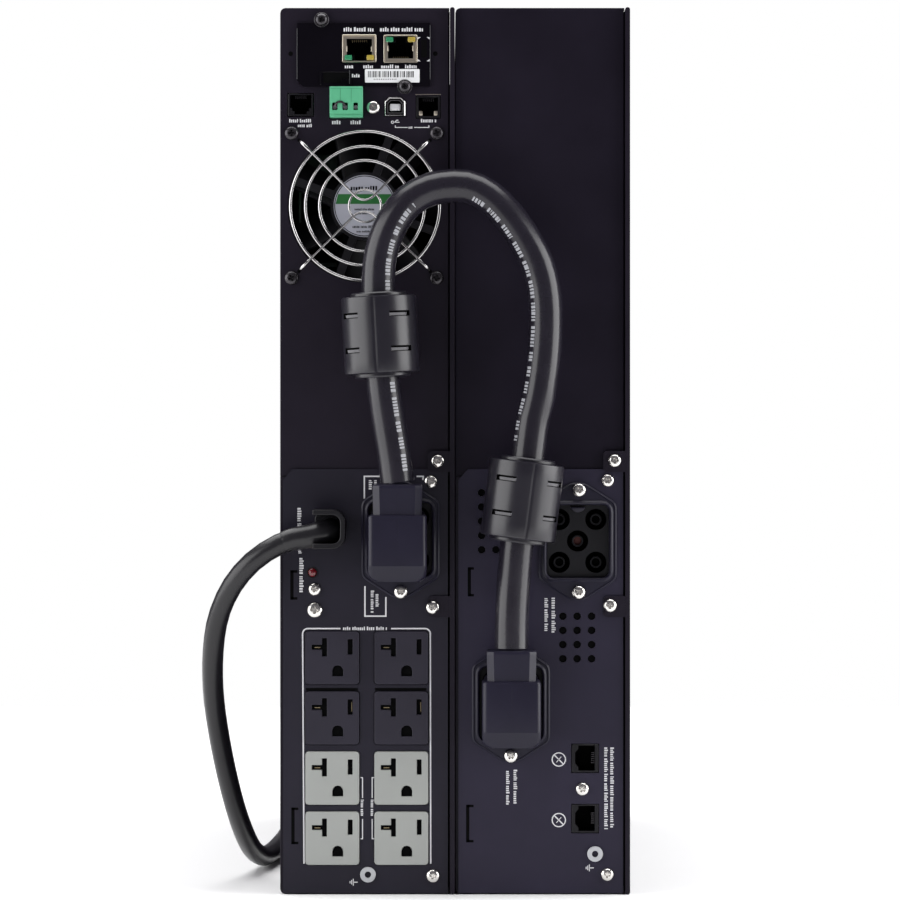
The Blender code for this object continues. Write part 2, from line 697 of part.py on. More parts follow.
def make_control_panel(left):
    """Fascia behind the bezel's window, with button and indicator holes."""
    middle = left + UNIT_WIDTH / 2
    edge = round_rect(left + 0.0125, PANEL_LOW, left + UNIT_WIDTH - 0.0125, PANEL_HIGH, 0.003)
    holes = [circle(middle, z, BUTTON_R + FIT, 20) for z in BUTTON_Z]
    for i in range(5):
        holes.append(rect(*centred(middle + (i - 2) * 0.0085, LED_ROW_Z, 0.0045, 0.0026)))
    return smooth(prism("control_panel", [edge] + holes, FRONT - 0.0040, FRONT - 0.0012, BLACK_PLASTIC))


def make_button(name, left, z):
    """Round push button that travels into the bezel."""
    middle = left + UNIT_WIDTH / 2
    button = cylinder(name, 0, 0, BUTTON_R, -0.0060, 0.0022, GREY_PLASTIC)
    button.location = (middle, FRONT - 0.0012, z)
    return smooth(button)


# ------------------------------------------------------------------ the battery cable
PLUG_BODY = (0.0288, 0.0330)
PLUG_NECK = (0.0240, 0.0150)
UPS_SOCKET = (-0.0271, 0.1765)
CABINET_SOCKET_HIGH = (0.0610, 0.1755)
CABINET_SOCKET_LOW = (0.0278, 0.0948)


def make_plug(name, x, z):
    """Right-angle battery plug: block, cable neck and the nose in the socket."""
    socket_face = REAR + PLATE_FACE - FIT - 0.0024
    outer = REAR + CABLE_DEPTH - 0.0120
    width, height = PLUG_BODY
    low = z - 0.0205
    body = prism(
        name,
        [round_rect(x - width / 2, low, x + width / 2, low + height, (0.005, 0.005, 0.002, 0.002))],
        outer, socket_face - FIT, BLACK_PLASTIC,
    )
    neck = prism(
        "neck",
        [round_rect(*centred(x, REAR + CABLE_DEPTH, PLUG_NECK[0], 0.0236), 0.004)],
        low + height - OVERLAP, low + height + PLUG_NECK[1], BLACK_PLASTIC, "Z",
    )
    nose_low, inset = z - SOCKET_MOUTH[1] / 2 + 0.0004, 0.0008
    half, nose_high = width / 2 - inset, low + height - inset
    nose_shape = round_rect(x - half, nose_low, x + half, nose_high, 0.0026)
    nose = prism("nose", [nose_shape], socket_face - 0.001, socket_face + 0.0050, None)
    return join(body, neck, nose)


FERRITE_A = ((-0.0368, 0.2776), 3.0)
FERRITE_B = ((0.0332, 0.1962), -7.4)


def make_ferrite(name, centre, lean):
    """Snap-on suppression core: a turned ring round the cable, with end collars."""
    half, bore, edge = FERRITE_LENGTH / 2, CABLE_R + 0.0005, 0.0012
    lip = half + 0.0020
    profile = [
        (FERRITE_COLLAR_R, lip), (FERRITE_COLLAR_R, half), (FERRITE_R - edge, half), (FERRITE_R, half - edge),
        (FERRITE_R, -half + edge), (FERRITE_R - edge, -half), (FERRITE_COLLAR_R, -half),
        (FERRITE_COLLAR_R, -lip), (bore, -lip), (bore, lip),
    ]
    mesh = bpy.data.meshes.new(name)
    count = len(profile)
    edges = [(i, (i + 1) % count) for i in range(count)]
    mesh.from_pydata([(r, 0, h) for r, h in profile], edges, [])
    ring = as_object(name, mesh, BLACK_PLASTIC)
    screw = ring.modifiers.new("turn", "SCREW")
    screw.steps = 20
    screw.render_steps = 20
    screw.use_merge_vertices = True
    screw.merge_threshold = 0.00001
    ring.matrix_world = Matrix.Translation((centre[0], REAR + CABLE_DEPTH, centre[1])) @ Matrix.Rotation(
        math.radians(-lean), 4, "Y"
    )
    bpy.context.view_layer.update()
    return smooth(to_mesh(ring))


CABLE_ROUTE = (
    (-0.0284, 0.2052), (-0.0303, 0.2200), (-0.0336, 0.2400), (-0.0358, 0.2576), (-0.0368, 0.2776),
    (-0.0379, 0.2976), (-0.0370, 0.3156), (-0.0320, 0.3310), (-0.0245, 0.3420), (-0.0152, 0.3482),
    (-0.0050, 0.3508), (0.0066, 0.3506), (0.0171, 0.3452), (0.0265, 0.3358), (0.0347, 0.3240),
    (0.0412, 0.3105), (0.0444, 0.2937), (0.0441, 0.2702), (0.0410, 0.2470), (0.0384, 0.2366),
    (0.0358, 0.2166), (0.0332, 0.1962), (0.0306, 0.1762), (0.0288, 0.1550), (0.0279, 0.1380),
    (0.0278, 0.1232),
)


def make_battery_cable():
    points = [(x, REAR + CABLE_DEPTH, z) for x, z in CABLE_ROUTE]
    return smooth(wire("battery_cable", route(points, 0.0200), CABLE_R, CABLE_JACKET, 3), 60)


# ------------------------------------------------------------------ the power cord
def cord_points():
    """The cord's hand-picked route: out of the hood, round the housing's side, down, and back."""
    side = UPS_LEFT - CORD_R - 0.0012
    return (
        (-0.0716, REAR - 0.0130, 0.1782), (-0.0800, REAR - 0.0131, 0.1768), (-0.0905, REAR - 0.0130, 0.1725),
        (-0.1020, REAR - 0.0115, 0.1640), (-0.1115, REAR - 0.0070, 0.1520), (-0.1180, REAR + 0.0010, 0.1370),
        (-0.1210, REAR + 0.0120, 0.1190), (-0.1215, REAR + 0.0260, 0.0985), (-0.1195, REAR + 0.0420, 0.0770),
        (-0.1160, REAR + 0.0610, 0.0540), (-0.1115, REAR + 0.0840, 0.0320), (-0.1065, REAR + 0.1110, 0.0150),
        (-0.1020, REAR + 0.1420, 0.0072), (-0.0985, REAR + 0.1760, 0.0055), (-0.0955, REAR + 0.2300, 0.0055),
        (side, REAR + 0.3000, 0.0055), (side, REAR + 0.4000, 0.0055), (side, REAR + 0.5000, 0.0055),
        (side, COIL_Y - 0.0386, 0.0055),
    )


def make_power_cord():
    return smooth(wire("power_cord", route(cord_points(), 0.0210), CORD_R, CABLE_JACKET, 2), 60)


def make_cord_coil():
    outlines = [circle(COIL_X, COIL_Y, COIL_OUTER_R, 40), circle(COIL_X, COIL_Y, COIL_INNER_R, 32)]
    return smooth(prism("power_cord_coil", outlines, FIT, COIL_HEIGHT, CABLE_JACKET, "Z"))


def make_power_plug():
    """Straight-blade plug on the floor beside the coil, with its cord grip."""
    y, z = COIL_Y + COIL_OUTER_R - CORD_R + 0.0105, 0.0158
    x0 = COIL_X + 0.0300
    grip_end, body_end = x0 + 0.022, x0 + 0.050
    plug = prism("power_plug", [circle(y, z, 0.0072, 12)], x0, grip_end, BLACK_PLASTIC, "X")
    face = round_rect(*centred(y, z, 0.0300, 0.0300), 0.008)
    body = prism("body", [face], grip_end - OVERLAP, body_end, None, "X")
    root, tip = body_end - 0.0010, body_end + 0.0180
    pins = []
    for dy, dz, width, height in ((-0.0063, 0.004, 0.0015, 0.0064), (0.0063, 0.004, 0.0064, 0.0015)):
        pins.append(prism("pin", [rect(*centred(y + dy, z + dz, width, height))], root, tip, None, "X"))
    pins.append(prism("pin", [circle(y, z - 0.0080, 0.0024, 10)], root, tip + 0.003, None, "X"))
    return join(plug, body, *pins)


# ------------------------------------------------------------------ assembly
DETECT_JACK = ((-0.0768, 0.3926), (0.0126, 0.0111))
SERIAL_JACK = ((-0.0133, 0.3915), (0.0117, 0.0108))
CABINET_JACKS = ((0.0647, 0.0676), (0.0647, 0.0376))
CABINET_JACK_SIZE = (0.0132, 0.0140)
HOOD_CENTRE = (-0.0612, 0.1818)
LED_CENTRE = (-0.0709, 0.1600)


def socket_hole(x, z):
    return round_rect(*grown(centred(x, z, *SOCKET_BODY), FIT), 0.003)


def make_ups_shell():
    left = UPS_LEFT
    make_chassis("ups", left)
    make_cover("ups", left)
    rear_holes = [
        rect(-0.0774, 0.4028, -0.0136, 0.4321),
        circle(FAN_X, FAN_Z, FAN_BORE + FIT, 36),
        rect(*grown(centred(*DETECT_JACK[0], *DETECT_JACK[1]), FIT)),
        rect(*grown((-0.0622, 0.3861, -0.0458, 0.4013), FIT)),
        rect(*grown((-0.0350, 0.3870, -0.0247, 0.3964), FIT)),
        rect(*grown(centred(*SERIAL_JACK[0], *SERIAL_JACK[1]), FIT)),
    ]
    make_rear_panel("ups", left, rear_holes)
    plate_holes = [socket_hole(*UPS_SOCKET), circle(*HOOD_CENTRE, 0.0066), circle(*LED_CENTRE, 0.0026, 16)]
    for _, _, x, z in outlet_places():
        plate_holes.append(round_rect(*grown(centred(x, z, *OUTLET_SIZE), FIT), 0.0017, 2))
    plate_holes.append(lanced_slit(-0.0816, 0.1465, -0.0790, 0.1611))
    plate_holes.append(lanced_slit(-0.0811, 0.0249, -0.0779, 0.0431))
    make_lower_plate("ups_power_panel", left, plate_holes)
    windows = [door_window(left, LOWER_BAY_Z)]
    right = left + UNIT_WIDTH
    windows.append(round_rect(left + 0.0100, PANEL_LOW - 0.003, right - 0.0100, PANEL_HIGH + 0.003, 0.004))
    windows += louvres(left + 0.016, right - 0.016, 0.2440, 0.2820, 5)
    windows += louvres(left + 0.016, right - 0.016, 0.4060, 0.4340, 4)
    make_bezel("ups", left, windows)
    make_ground_nut("ups_ground_nut", -0.0433, 0.0098)


def make_ups_inside():
    left = UPS_LEFT
    make_door("ups_battery_door", left, LOWER_BAY_Z)
    make_tray("ups_battery_tray", left, LOWER_BAY_Z)
    make_pack("ups_battery_pack", left, LOWER_BAY_Z)
    make_main_board(left)
    make_transformer(left)
    make_control_panel(left)
    for name, z in zip(("button_off", "button_test", "button_on"), BUTTON_Z):
        make_button(name, left, z)


def make_ups_rear():
    make_fan_frame()
    make_fan_rotor()
    make_fan_guard()
    make_network_card()
    key = (0.0062, 0.0020)
    front = -FIT - SHEET - 0.0004
    slot_jack("card_jack_a", CARD_JACK_A, CARD_JACK_SIZE, (0.0118, 0.0068), key, front, 0.0190, TAN_METAL, -1)
    slot_jack("card_jack_b", CARD_JACK_B, CARD_JACK_SIZE, (0.0118, 0.0068), key, front, 0.0190, TAN_METAL, 1)
    turned_jack("battery_detect_jack", *DETECT_JACK, (0.0098, 0.0068), -0.0006, 0.0160, BLACK_PLASTIC)
    turned_jack("serial_jack", *SERIAL_JACK, (0.0092, 0.0066), -0.0006, 0.0160, BLACK_PLASTIC)
    make_terminal_plug()
    make_usb_socket()
    make_outlets()
    make_strain_relief()
    make_status_led()
    make_socket("ups_battery_socket", *UPS_SOCKET)


def make_cabinet():
    left = CABINET_LEFT
    make_chassis("cabinet", left)
    make_cover("cabinet", left)
    vents = []
    for row in range(4):
        vents += [circle(x, 0.1171 + row * 0.00705, 0.0020, 8) for x in (0.0536, 0.0607, 0.0679)]
    for row in range(5):
        vents += [circle(x, 0.1713 + row * 0.0071, 0.0020, 8) for x in (0.0132, 0.0203, 0.0274)]
    jack_holes = [rect(*grown(centred(x, z, *CABINET_JACK_SIZE), FIT)) for x, z in CABINET_JACKS]
    make_rear_panel("cabinet", left, [])
    plate_holes = [socket_hole(*place) for place in (CABINET_SOCKET_HIGH, CABINET_SOCKET_LOW)]
    slits = [lanced_slit(0.0066, 0.1481, 0.0090, 0.1626), lanced_slit(0.0058, 0.0258, 0.0092, 0.0445)]
    make_lower_plate("cabinet_connector_panel", left, plate_holes + jack_holes + vents + slits)
    make_bezel("cabinet", left, [door_window(left, LOWER_BAY_Z), door_window(left, UPPER_BAY_Z)])
    for word, low in (("lower", LOWER_BAY_Z), ("upper", UPPER_BAY_Z)):
        make_door(f"cabinet_door_{word}", left, low)
        make_tray(f"cabinet_tray_{word}", left, low)
        make_pack(f"cabinet_pack_{word}", left, low)
    make_socket("cabinet_socket_upper", *CABINET_SOCKET_HIGH)
    make_socket("cabinet_socket_lower", *CABINET_SOCKET_LOW)
    mouth, front = (0.0072, 0.0100), PLATE_FACE - 0.0006
    for word, place in zip(("upper", "lower"), CABINET_JACKS):
        turned_jack(f"cabinet_jack_{word}", place, CABINET_JACK_SIZE, mouth, front, 0.0170, BLACK_PLASTIC)
    make_ground_nut("cabinet_ground_nut", 0.0696, 0.0201)


def make_cables():
    make_plug("battery_plug_ups", -0.0284, UPS_SOCKET[1])
    make_plug("battery_plug_cabinet", CABINET_SOCKET_LOW[0], CABINET_SOCKET_LOW[1])
    make_ferrite("ferrite_ups", *FERRITE_A)
    make_ferrite("ferrite_cabinet", *FERRITE_B)
    make_battery_cable()
    make_power_cord()
    make_cord_coil()
    make_power_plug()


make_ups_shell()
make_ups_inside()
make_ups_rear()
make_cabinet()
make_cables()
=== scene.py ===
"""Looks for the rack UPS and its battery cabinet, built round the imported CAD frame.

Metres, +Z up. The rear panels face -Y. Depths are counted from the rear panels' outer faces:
negative stands out of a housing. Pieces take their places from the frame's boxes.
"""

import math
import random

import bmesh
import bpy
from mathutils import Matrix, Vector


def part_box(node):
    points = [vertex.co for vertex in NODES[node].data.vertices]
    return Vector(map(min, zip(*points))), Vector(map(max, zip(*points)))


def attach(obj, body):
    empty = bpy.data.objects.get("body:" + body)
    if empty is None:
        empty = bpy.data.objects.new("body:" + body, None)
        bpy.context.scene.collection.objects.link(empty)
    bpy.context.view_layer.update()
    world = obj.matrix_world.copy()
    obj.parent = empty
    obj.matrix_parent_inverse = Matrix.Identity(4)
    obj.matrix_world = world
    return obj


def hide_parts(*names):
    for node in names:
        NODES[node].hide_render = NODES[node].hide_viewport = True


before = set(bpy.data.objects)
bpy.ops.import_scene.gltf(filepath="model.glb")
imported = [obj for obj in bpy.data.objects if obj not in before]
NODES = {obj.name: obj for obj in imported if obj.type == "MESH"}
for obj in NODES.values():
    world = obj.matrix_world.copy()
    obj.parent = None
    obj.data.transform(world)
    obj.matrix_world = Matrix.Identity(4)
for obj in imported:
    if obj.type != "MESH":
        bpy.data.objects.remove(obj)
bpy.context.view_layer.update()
HOUSINGS = "housings"

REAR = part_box("ups_rear_panel")[0].y
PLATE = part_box("ups_power_panel")[0].y
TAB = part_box("ups_cover")[0].y


def middle(node):
    low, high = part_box(node)
    return (low + high) / 2


# ------------------------------------------------------------------ camera, light, floor
VIEW_CENTRE = Vector((-0.0025, 0, 0.2209))
VIEW_HEIGHT = 0.4478  # what the frame takes in at the rear panels
CAMERA_DISTANCE = 2.4
SENSOR = 36.0
ROOM_LIGHT = 0.16
FLOOR_HALF = 1.5


def make_camera():
    data = bpy.data.cameras.new("camera")
    data.sensor_width = SENSOR
    data.lens = SENSOR * CAMERA_DISTANCE / VIEW_HEIGHT
    data.clip_end = 50
    camera = bpy.data.objects.new("camera", data)
    bpy.context.scene.collection.objects.link(camera)
    camera.location = (VIEW_CENTRE.x, REAR - CAMERA_DISTANCE, VIEW_CENTRE.z)
    camera.rotation_euler = (math.radians(90), 0, 0)
    bpy.context.scene.camera = camera


def area_light(name, place, aim, size, power):
    data = bpy.data.lights.new(name, "AREA")
    data.shape = "RECTANGLE"
    data.size, data.size_y = size
    data.energy = power
    light = bpy.data.objects.new(name, data)
    bpy.context.scene.collection.objects.link(light)
    light.location = place
    light.rotation_euler = (Vector(aim) - Vector(place)).to_track_quat("-Z", "Y").to_euler()


def make_world():
    """White behind the object, and a dimmer room for the surfaces to reflect."""
    world = bpy.data.worlds.new("studio")
    bpy.context.scene.world = world
    world.use_nodes = True
    tree = world.node_tree
    seen = tree.nodes["Background"]
    seen.inputs["Color"].default_value = (1, 1, 1, 1)
    seen.inputs["Strength"].default_value = 1.0
    room = tree.nodes.new("ShaderNodeBackground")
    room.inputs["Color"].default_value = (0.93, 0.90, 1, 1)
    room.inputs["Strength"].default_value = ROOM_LIGHT
    ray = tree.nodes.new("ShaderNodeLightPath")
    blend = tree.nodes.new("ShaderNodeMixShader")
    tree.links.new(ray.outputs["Is Camera Ray"], blend.inputs["Fac"])
    tree.links.new(room.outputs["Background"], blend.inputs[1])
    tree.links.new(seen.outputs["Background"], blend.inputs[2])
    tree.links.new(blend.outputs["Shader"], tree.nodes["World Output"].inputs["Surface"])


def make_stage():
    """White room: a pale floor, a wide box overhead, and soft boxes left and right."""
    bpy.context.scene.view_settings.view_transform = "Standard"
    make_world()
    aim = (0, REAR, 0.2)
    area_light("top_box", (0, 0.35, 2.4), (0, 0.35, 0), (3.4, 3.0), 125)
    area_light("left_box", (-1.82, REAR - 0.56, 0.50), aim, (2.4, 1.8), 50)
    area_light("right_box", (1.87, REAR - 0.33, 0.50), aim, (1.8, 1.8), 52)
    work = bmesh.new()
    bmesh.ops.create_grid(work, x_segments=1, y_segments=1, size=FLOOR_HALF)
    mesh = bpy.data.meshes.new("floor")
    work.to_mesh(mesh)
    work.free()
    floor = bpy.data.objects.new("floor", mesh)
    bpy.context.scene.collection.objects.link(floor)
    floor.location.z = -0.0001
    mesh.materials.append(surface("floor_white", (0.90, 0.90, 0.90), 0.7, fine=(30, 0.0), vary=0.0))


# ------------------------------------------------------------------ materials
def surface(name, colour, roughness, metallic=0.0, *, fine, vary=0.12, edge_wear_and_sheen=0.0, cloud=35,
            streak=None, coat=0.0, grain_height=0.00002, shine=0.5):
    """Procedural surface: fine bump, slow colour and gloss variation, and, if asked for, paler convex edges
    that stand partly for wear and partly for painted edge highlights.

    fine is the grain's scale (per metre) and strength, and grain_height its height; streak stretches
    the grain along an axis; cloud is the scale of the slow variation and vary its strength; shine is
    the strength of the plain reflection that a non-metal has.
    """
    material = bpy.data.materials.new(name)
    material.use_nodes = True
    tree = material.node_tree
    shader = tree.nodes["Principled BSDF"]

    def node(kind, **values):
        made = tree.nodes.new("ShaderNode" + kind)
        for socket, value in values.items():
            made.inputs[socket].default_value = value
        return made

    def ramp(low, high, low_colour, high_colour):
        made = node("ValToRGB")
        for stop, position, tone in zip(made.color_ramp.elements, (low, high), (low_colour, high_colour)):
            stop.position = position
            stop.color = (*tone, 1)
        return made

    def link(source, output, target, socket):
        tree.links.new(source.outputs[output], target.inputs[socket])

    shader.inputs["Metallic"].default_value = metallic
    shader.inputs["Coat Weight"].default_value = coat
    shader.inputs["Specular IOR Level"].default_value = shine
    place = node("TexCoord")
    slow = node("TexNoise", Scale=cloud, Detail=4)
    link(place, "Object", slow, "Vector")
    colours = ramp(0.3, 0.7, [c * (1 - vary) for c in colour], [min(1, c * (1 + vary)) for c in colour])
    link(slow, "Fac", colours, "Fac")
    # Paler convex edges from pointiness: partly wear, partly painted edge highlights.
    if edge_wear_and_sheen:
        edges = node("NewGeometry")
        pick = ramp(0.52, 0.62, (0, 0, 0), (edge_wear_and_sheen, edge_wear_and_sheen, edge_wear_and_sheen))
        blend = node("MixRGB", Color2=(*[min(1, c * 2.2 + 0.03) for c in colour], 1))
        link(edges, "Pointiness", pick, "Fac")
        link(pick, "Color", blend, "Fac")
        link(colours, "Color", blend, "Color1")
        colours = blend
    link(colours, "Color", shader, "Base Color")
    gloss = node("MapRange")
    gloss.inputs["To Min"].default_value = max(0.03, roughness - 0.06)
    gloss.inputs["To Max"].default_value = min(1.0, roughness + 0.06)
    link(slow, "Fac", gloss, "Value")
    link(gloss, "Result", shader, "Roughness")
    scale, strength = fine
    if strength:
        grain = node("TexNoise", Scale=scale, Detail=3)
        if streak:
            stretch = node("Mapping", Scale=streak)
            link(place, "Object", stretch, "Vector")
            link(stretch, "Vector", grain, "Vector")
        else:
            link(place, "Object", grain, "Vector")
        bump = node("Bump", Strength=strength, Distance=grain_height)
        link(grain, "Fac", bump, "Height")
        link(bump, "Normal", shader, "Normal")
    return material


COAT = surface("powder_coat", (0.0080, 0.0057, 0.0118), 0.46, fine=(2200, 0.5), shine=0.17)
# Copy of the powder coat with a weaker reflection for the cabinet's rear panel: painted shade that keeps that
# panel darker.
CABINET_COAT_SHADED = surface("cabinet_coat_painted_shade", (0.0077, 0.0059, 0.0118), 0.46, fine=(2200, 0.5), shine=0.11)
# Lighter copies of the powder coat for the lower plates: painted light where those plates catch more light.
PLATE_COAT_LIT = surface("plate_coat_painted_light", (0.0118, 0.0104, 0.0183), 0.44, fine=(2200, 0.5), shine=0.20)
CABINET_PLATE_COAT_LIT = surface("cabinet_plate_coat_painted_light", (0.0168, 0.0141, 0.0292), 0.44, fine=(2200, 0.5),
                             shine=0.22)
CARD_COAT = surface("card_coat", (0.0022, 0.0016, 0.0034), 0.42, fine=(2600, 0.5), shine=0.06)
MOULDED = surface("moulded_black", (0.0050, 0.0046, 0.0064), 0.40, fine=(3200, 0.35), shine=0.24)
PLUG = surface("plug_black", (0.0108, 0.0096, 0.0200), 0.36, fine=(3800, 0.35), shine=0.26)
FERRITE = surface("ferrite_shell", (0.0074, 0.0064, 0.0110), 0.30, fine=(3600, 0.35), edge_wear_and_sheen=0.35, shine=0.50)
# Lighter, glossier copy of the ferrite's black for the latch tongues: painted highlight.
TONGUE_GLINT = surface("latch_tongue_glint", (0.0600, 0.0580, 0.0660), 0.22, fine=(3600, 0.2), shine=0.7)
# Darker copy of the plug black for the socket's recess floor: painted shade.
RECESS_SHADE = surface("socket_recess_shade", (0.0040, 0.0040, 0.0060), 0.45, fine=(3000, 0.3), shine=0.25)
DARK = surface("deep_black", (0.0010, 0.0010, 0.0012), 0.7, fine=(3000, 0.2), shine=0.05)
JACKET = surface("cable_jacket", (0.0108, 0.0093, 0.0147), 0.24, fine=(900, 0.25), cloud=60,
                 grain_height=0.00005, shine=0.42)
CORD = surface("cord_jacket", (0.0085, 0.0080, 0.0100), 0.30, fine=(1600, 0.3), grain_height=0.00003,
               shine=0.40)
BEZEL = surface("bezel_black", (0.0120, 0.0115, 0.0130), 0.42, fine=(1800, 0.5), edge_wear_and_sheen=0.30, shine=0.35)
OUTLET_DARK = surface("outlet_dark", (0.0180, 0.0160, 0.0260), 0.40, fine=(3500, 0.25), shine=0.26)
OUTLET_PALE = surface("outlet_pale", (0.2950, 0.3060, 0.2920), 0.42, fine=(3500, 0.25), vary=0.03)
GREEN = surface("terminal_green", (0.0900, 0.3700, 0.2050), 0.38, fine=(3500, 0.2), vary=0.05, shine=0.3)
NICKEL = surface("nickel", (0.72, 0.70, 0.67), 0.20, 1.0, fine=(1500, 0.25), vary=0.05, streak=(1, 1, 6))
WIRE = surface("guard_wire", (0.50, 0.49, 0.49), 0.16, 1.0, fine=(900, 0.2), vary=0.05)
ZINC = surface("zinc", (0.50, 0.51, 0.53), 0.34, 1.0, fine=(300, 0.3), vary=0.08, streak=(1, 0.05, 1),
               cloud=90)
STAMPED = surface("jack_shell", (0.62, 0.56, 0.46), 0.30, 1.0, fine=(1500, 0.3), vary=0.08)
BRASS = surface("contact_brass", (0.24, 0.19, 0.11), 0.34, 0.8, fine=(2000, 0.2), vary=0.06)
COPPER = surface("contact_copper", (0.075, 0.026, 0.024), 0.45, 0.7, fine=(2000, 0.2))
BLACK_SCREW = surface("black_screw", (0.045, 0.042, 0.047), 0.25, 0.7, fine=(1500, 0.3))
INK = surface("white_ink", (0.60, 0.60, 0.62), 0.5, fine=(2500, 0.2), vary=0.04)
CABLE_INK = surface("cable_ink", (0.30, 0.305, 0.33), 0.45, fine=(2500, 0.2), vary=0.10)
PAPER = surface("label_paper", (0.70, 0.71, 0.72), 0.5, fine=(2500, 0.1), vary=0.03)
SILVER_LABEL = surface("silver_label", (0.50, 0.51, 0.58), 0.40, 0.5, fine=(1800, 0.15), vary=0.05)
LABEL_GREEN = surface("label_green", (0.010, 0.120, 0.022), 0.45, fine=(2500, 0.1), vary=0.04)
# Darker green for the terminal's moulded lines: painted shade.
GREEN_SHADE = surface("terminal_green_painted_shade", (0.0350, 0.2100, 0.1000), 0.45, fine=(3500, 0.2), vary=0.05)
LED_GREEN = surface("led_green", (0.020, 0.180, 0.080), 0.25, fine=(1500, 0.1), coat=0.5)
LED_AMBER = surface("led_amber", (0.330, 0.250, 0.040), 0.25, fine=(1500, 0.1), coat=0.5)
LED_RED = surface("led_red", (0.130, 0.004, 0.009), 0.20, fine=(1500, 0.1), coat=0.6)
WHITE_PLASTIC = surface("white_plastic", (0.60, 0.60, 0.62), 0.4, fine=(2500, 0.15), vary=0.03)
BUTTON = surface("button_grey", (0.16, 0.17, 0.18), 0.4, fine=(2500, 0.3), edge_wear_and_sheen=0.2)
TRAY = surface("tray_steel", (0.105, 0.107, 0.112), 0.46, 0.5, fine=(1400, 0.3), vary=0.05, edge_wear_and_sheen=0.15,
               shine=0.35)
CASE = surface("battery_case", (0.035, 0.035, 0.042), 0.5, fine=(1400, 0.5), edge_wear_and_sheen=0.25)
BOARD = surface("circuit_board", (0.006, 0.045, 0.018), 0.35, fine=(500, 0.3), cloud=220, vary=0.3)
CORE = surface("core_steel", (0.14, 0.09, 0.050), 0.42, 0.5, fine=(1600, 0.5), streak=(1, 12, 1))
FOAM = surface("filter_foam", (0.0040, 0.0040, 0.0045), 0.9, fine=(1200, 1.0), grain_height=0.0004, shine=0.1)


# ------------------------------------------------------------------ outlines and meshes
def arc(x, z, radius, start, end, steps):
    points = []
    for i in range(steps + 1):
        angle = math.radians(start + (end - start) * i / steps)
        points.append((x + radius * math.cos(angle), z + radius * math.sin(angle)))
    return points


def circle(x, z, radius, sides):
    return arc(x, z, radius, 0, 360 - 360 / sides, sides - 1)


def round_rect(x0, z0, x1, z1, radius, steps=6):
    if radius <= 0:
        return [(x0, z0), (x1, z0), (x1, z1), (x0, z1)]
    points = arc(x0 + radius, z0 + radius, radius, 180, 270, steps)
    points += arc(x1 - radius, z0 + radius, radius, 270, 360, steps)
    points += arc(x1 - radius, z1 - radius, radius, 0, 90, steps)
    points += arc(x0 + radius, z1 - radius, radius, 90, 180, steps)
    return points


def centred(x, z, width, height):
    return (x - width / 2, z - height / 2, x + width / 2, z + height / 2)


def inset(outline, by):
    """Outline moved inwards by a distance, for outlines that run anticlockwise."""
    result = []
    count = len(outline)
    for i in range(count):
        before = Vector(outline[i]) - Vector(outline[i - 1])
        after = Vector(outline[(i + 1) % count]) - Vector(outline[i])
        normal_a = Vector((-before.y, before.x)).normalized()
        normal_b = Vector((-after.y, after.x)).normalized()
        lean = normal_a + normal_b
        lean /= max(0.35, lean.dot(normal_a))
        result.append((outline[i][0] + lean.x * by, outline[i][1] + lean.y * by))
    return result


def as_piece(name, work, material, body=HOUSINGS, replaces=(), angle=35):
    """Finish a bmesh as a smooth-shaded piece that rides on a body; angle is where edges stay sharp."""
    bmesh.ops.recalc_face_normals(work, faces=work.faces)
    mesh = bpy.data.meshes.new(name)
    work.to_mesh(mesh)
    work.free()
    mesh.shade_smooth()
    mesh.set_sharp_from_angle(angle=math.radians(angle))
    materials = material if isinstance(material, (list, tuple)) else [material]
    for item in materials:
        mesh.materials.append(item)
    piece = bpy.data.objects.new(name, mesh)
    bpy.context.scene.collection.objects.link(piece)
    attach(piece, body)
    if replaces:
        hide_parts(*replaces)
    return piece


def loop_at(work, outline, y):
    return [work.verts.new((x, y, z)) for x, z in outline]


def bridge(work, lower, upper, slot=0):
    count = len(lower)
    for i in range(count):
        face = work.faces.new((lower[i], lower[(i + 1) % count], upper[(i + 1) % count], upper[i]))
        face.material_index = slot


def stack(work, levels, cap_start=True, cap_end=True, slot=0):
    """Skin a series of (outline, y) sections that have equal point counts."""
    loops = [loop_at(work, outline, y) for outline, y in levels]
    for lower, upper in zip(loops, loops[1:]):
        bridge(work, lower, upper, slot)
    if cap_start:
        work.faces.new(loops[0]).material_index = slot
    if cap_end:
        work.faces.new(list(reversed(loops[-1]))).material_index = slot
    return loops


def pad(work, outline, front, back, edge, slot=0):
    """Flat block between two depths with a rounded front edge."""
    levels = [(inset(outline, edge), front), (inset(outline, edge * 0.3), front + edge * 0.3)]
    levels += [(outline, front + edge), (outline, back)]
    stack(work, levels, slot=slot)


def edges_of(loop):
    """Edges that join a closed loop's neighbouring corners."""
    found = []
    for i, vert in enumerate(loop):
        other = loop[(i + 1) % len(loop)]
        for edge in vert.link_edges:
            if edge.other_vert(vert) == other:
                found.append(edge)
    return found


def turned(work, profile, centre, steps, slot=0, closed=False):
    """Revolve (radius, depth) points about an axis along Y through centre (x, z)."""
    rings = []
    for radius, y in profile:
        if radius < 1e-7:
            rings.append([work.verts.new((centre[0], y, centre[1]))])
        else:
            rings.append(loop_at(work, circle(centre[0], centre[1], radius, steps), y))
    pairs = list(zip(rings, rings[1:]))
    if closed:
        pairs.append((rings[-1], rings[0]))
    for a, b in pairs:
        if len(a) == 1 and len(b) == 1:
            continue
        for i in range(steps):
            j = (i + 1) % steps
            if len(a) == 1:
                face = work.faces.new((a[0], b[j], b[i]))
            elif len(b) == 1:
                face = work.faces.new((a[i], a[j], b[0]))
            else:
                face = work.faces.new((a[i], a[j], b[j], b[i]))
            face.material_index = slot
    return rings


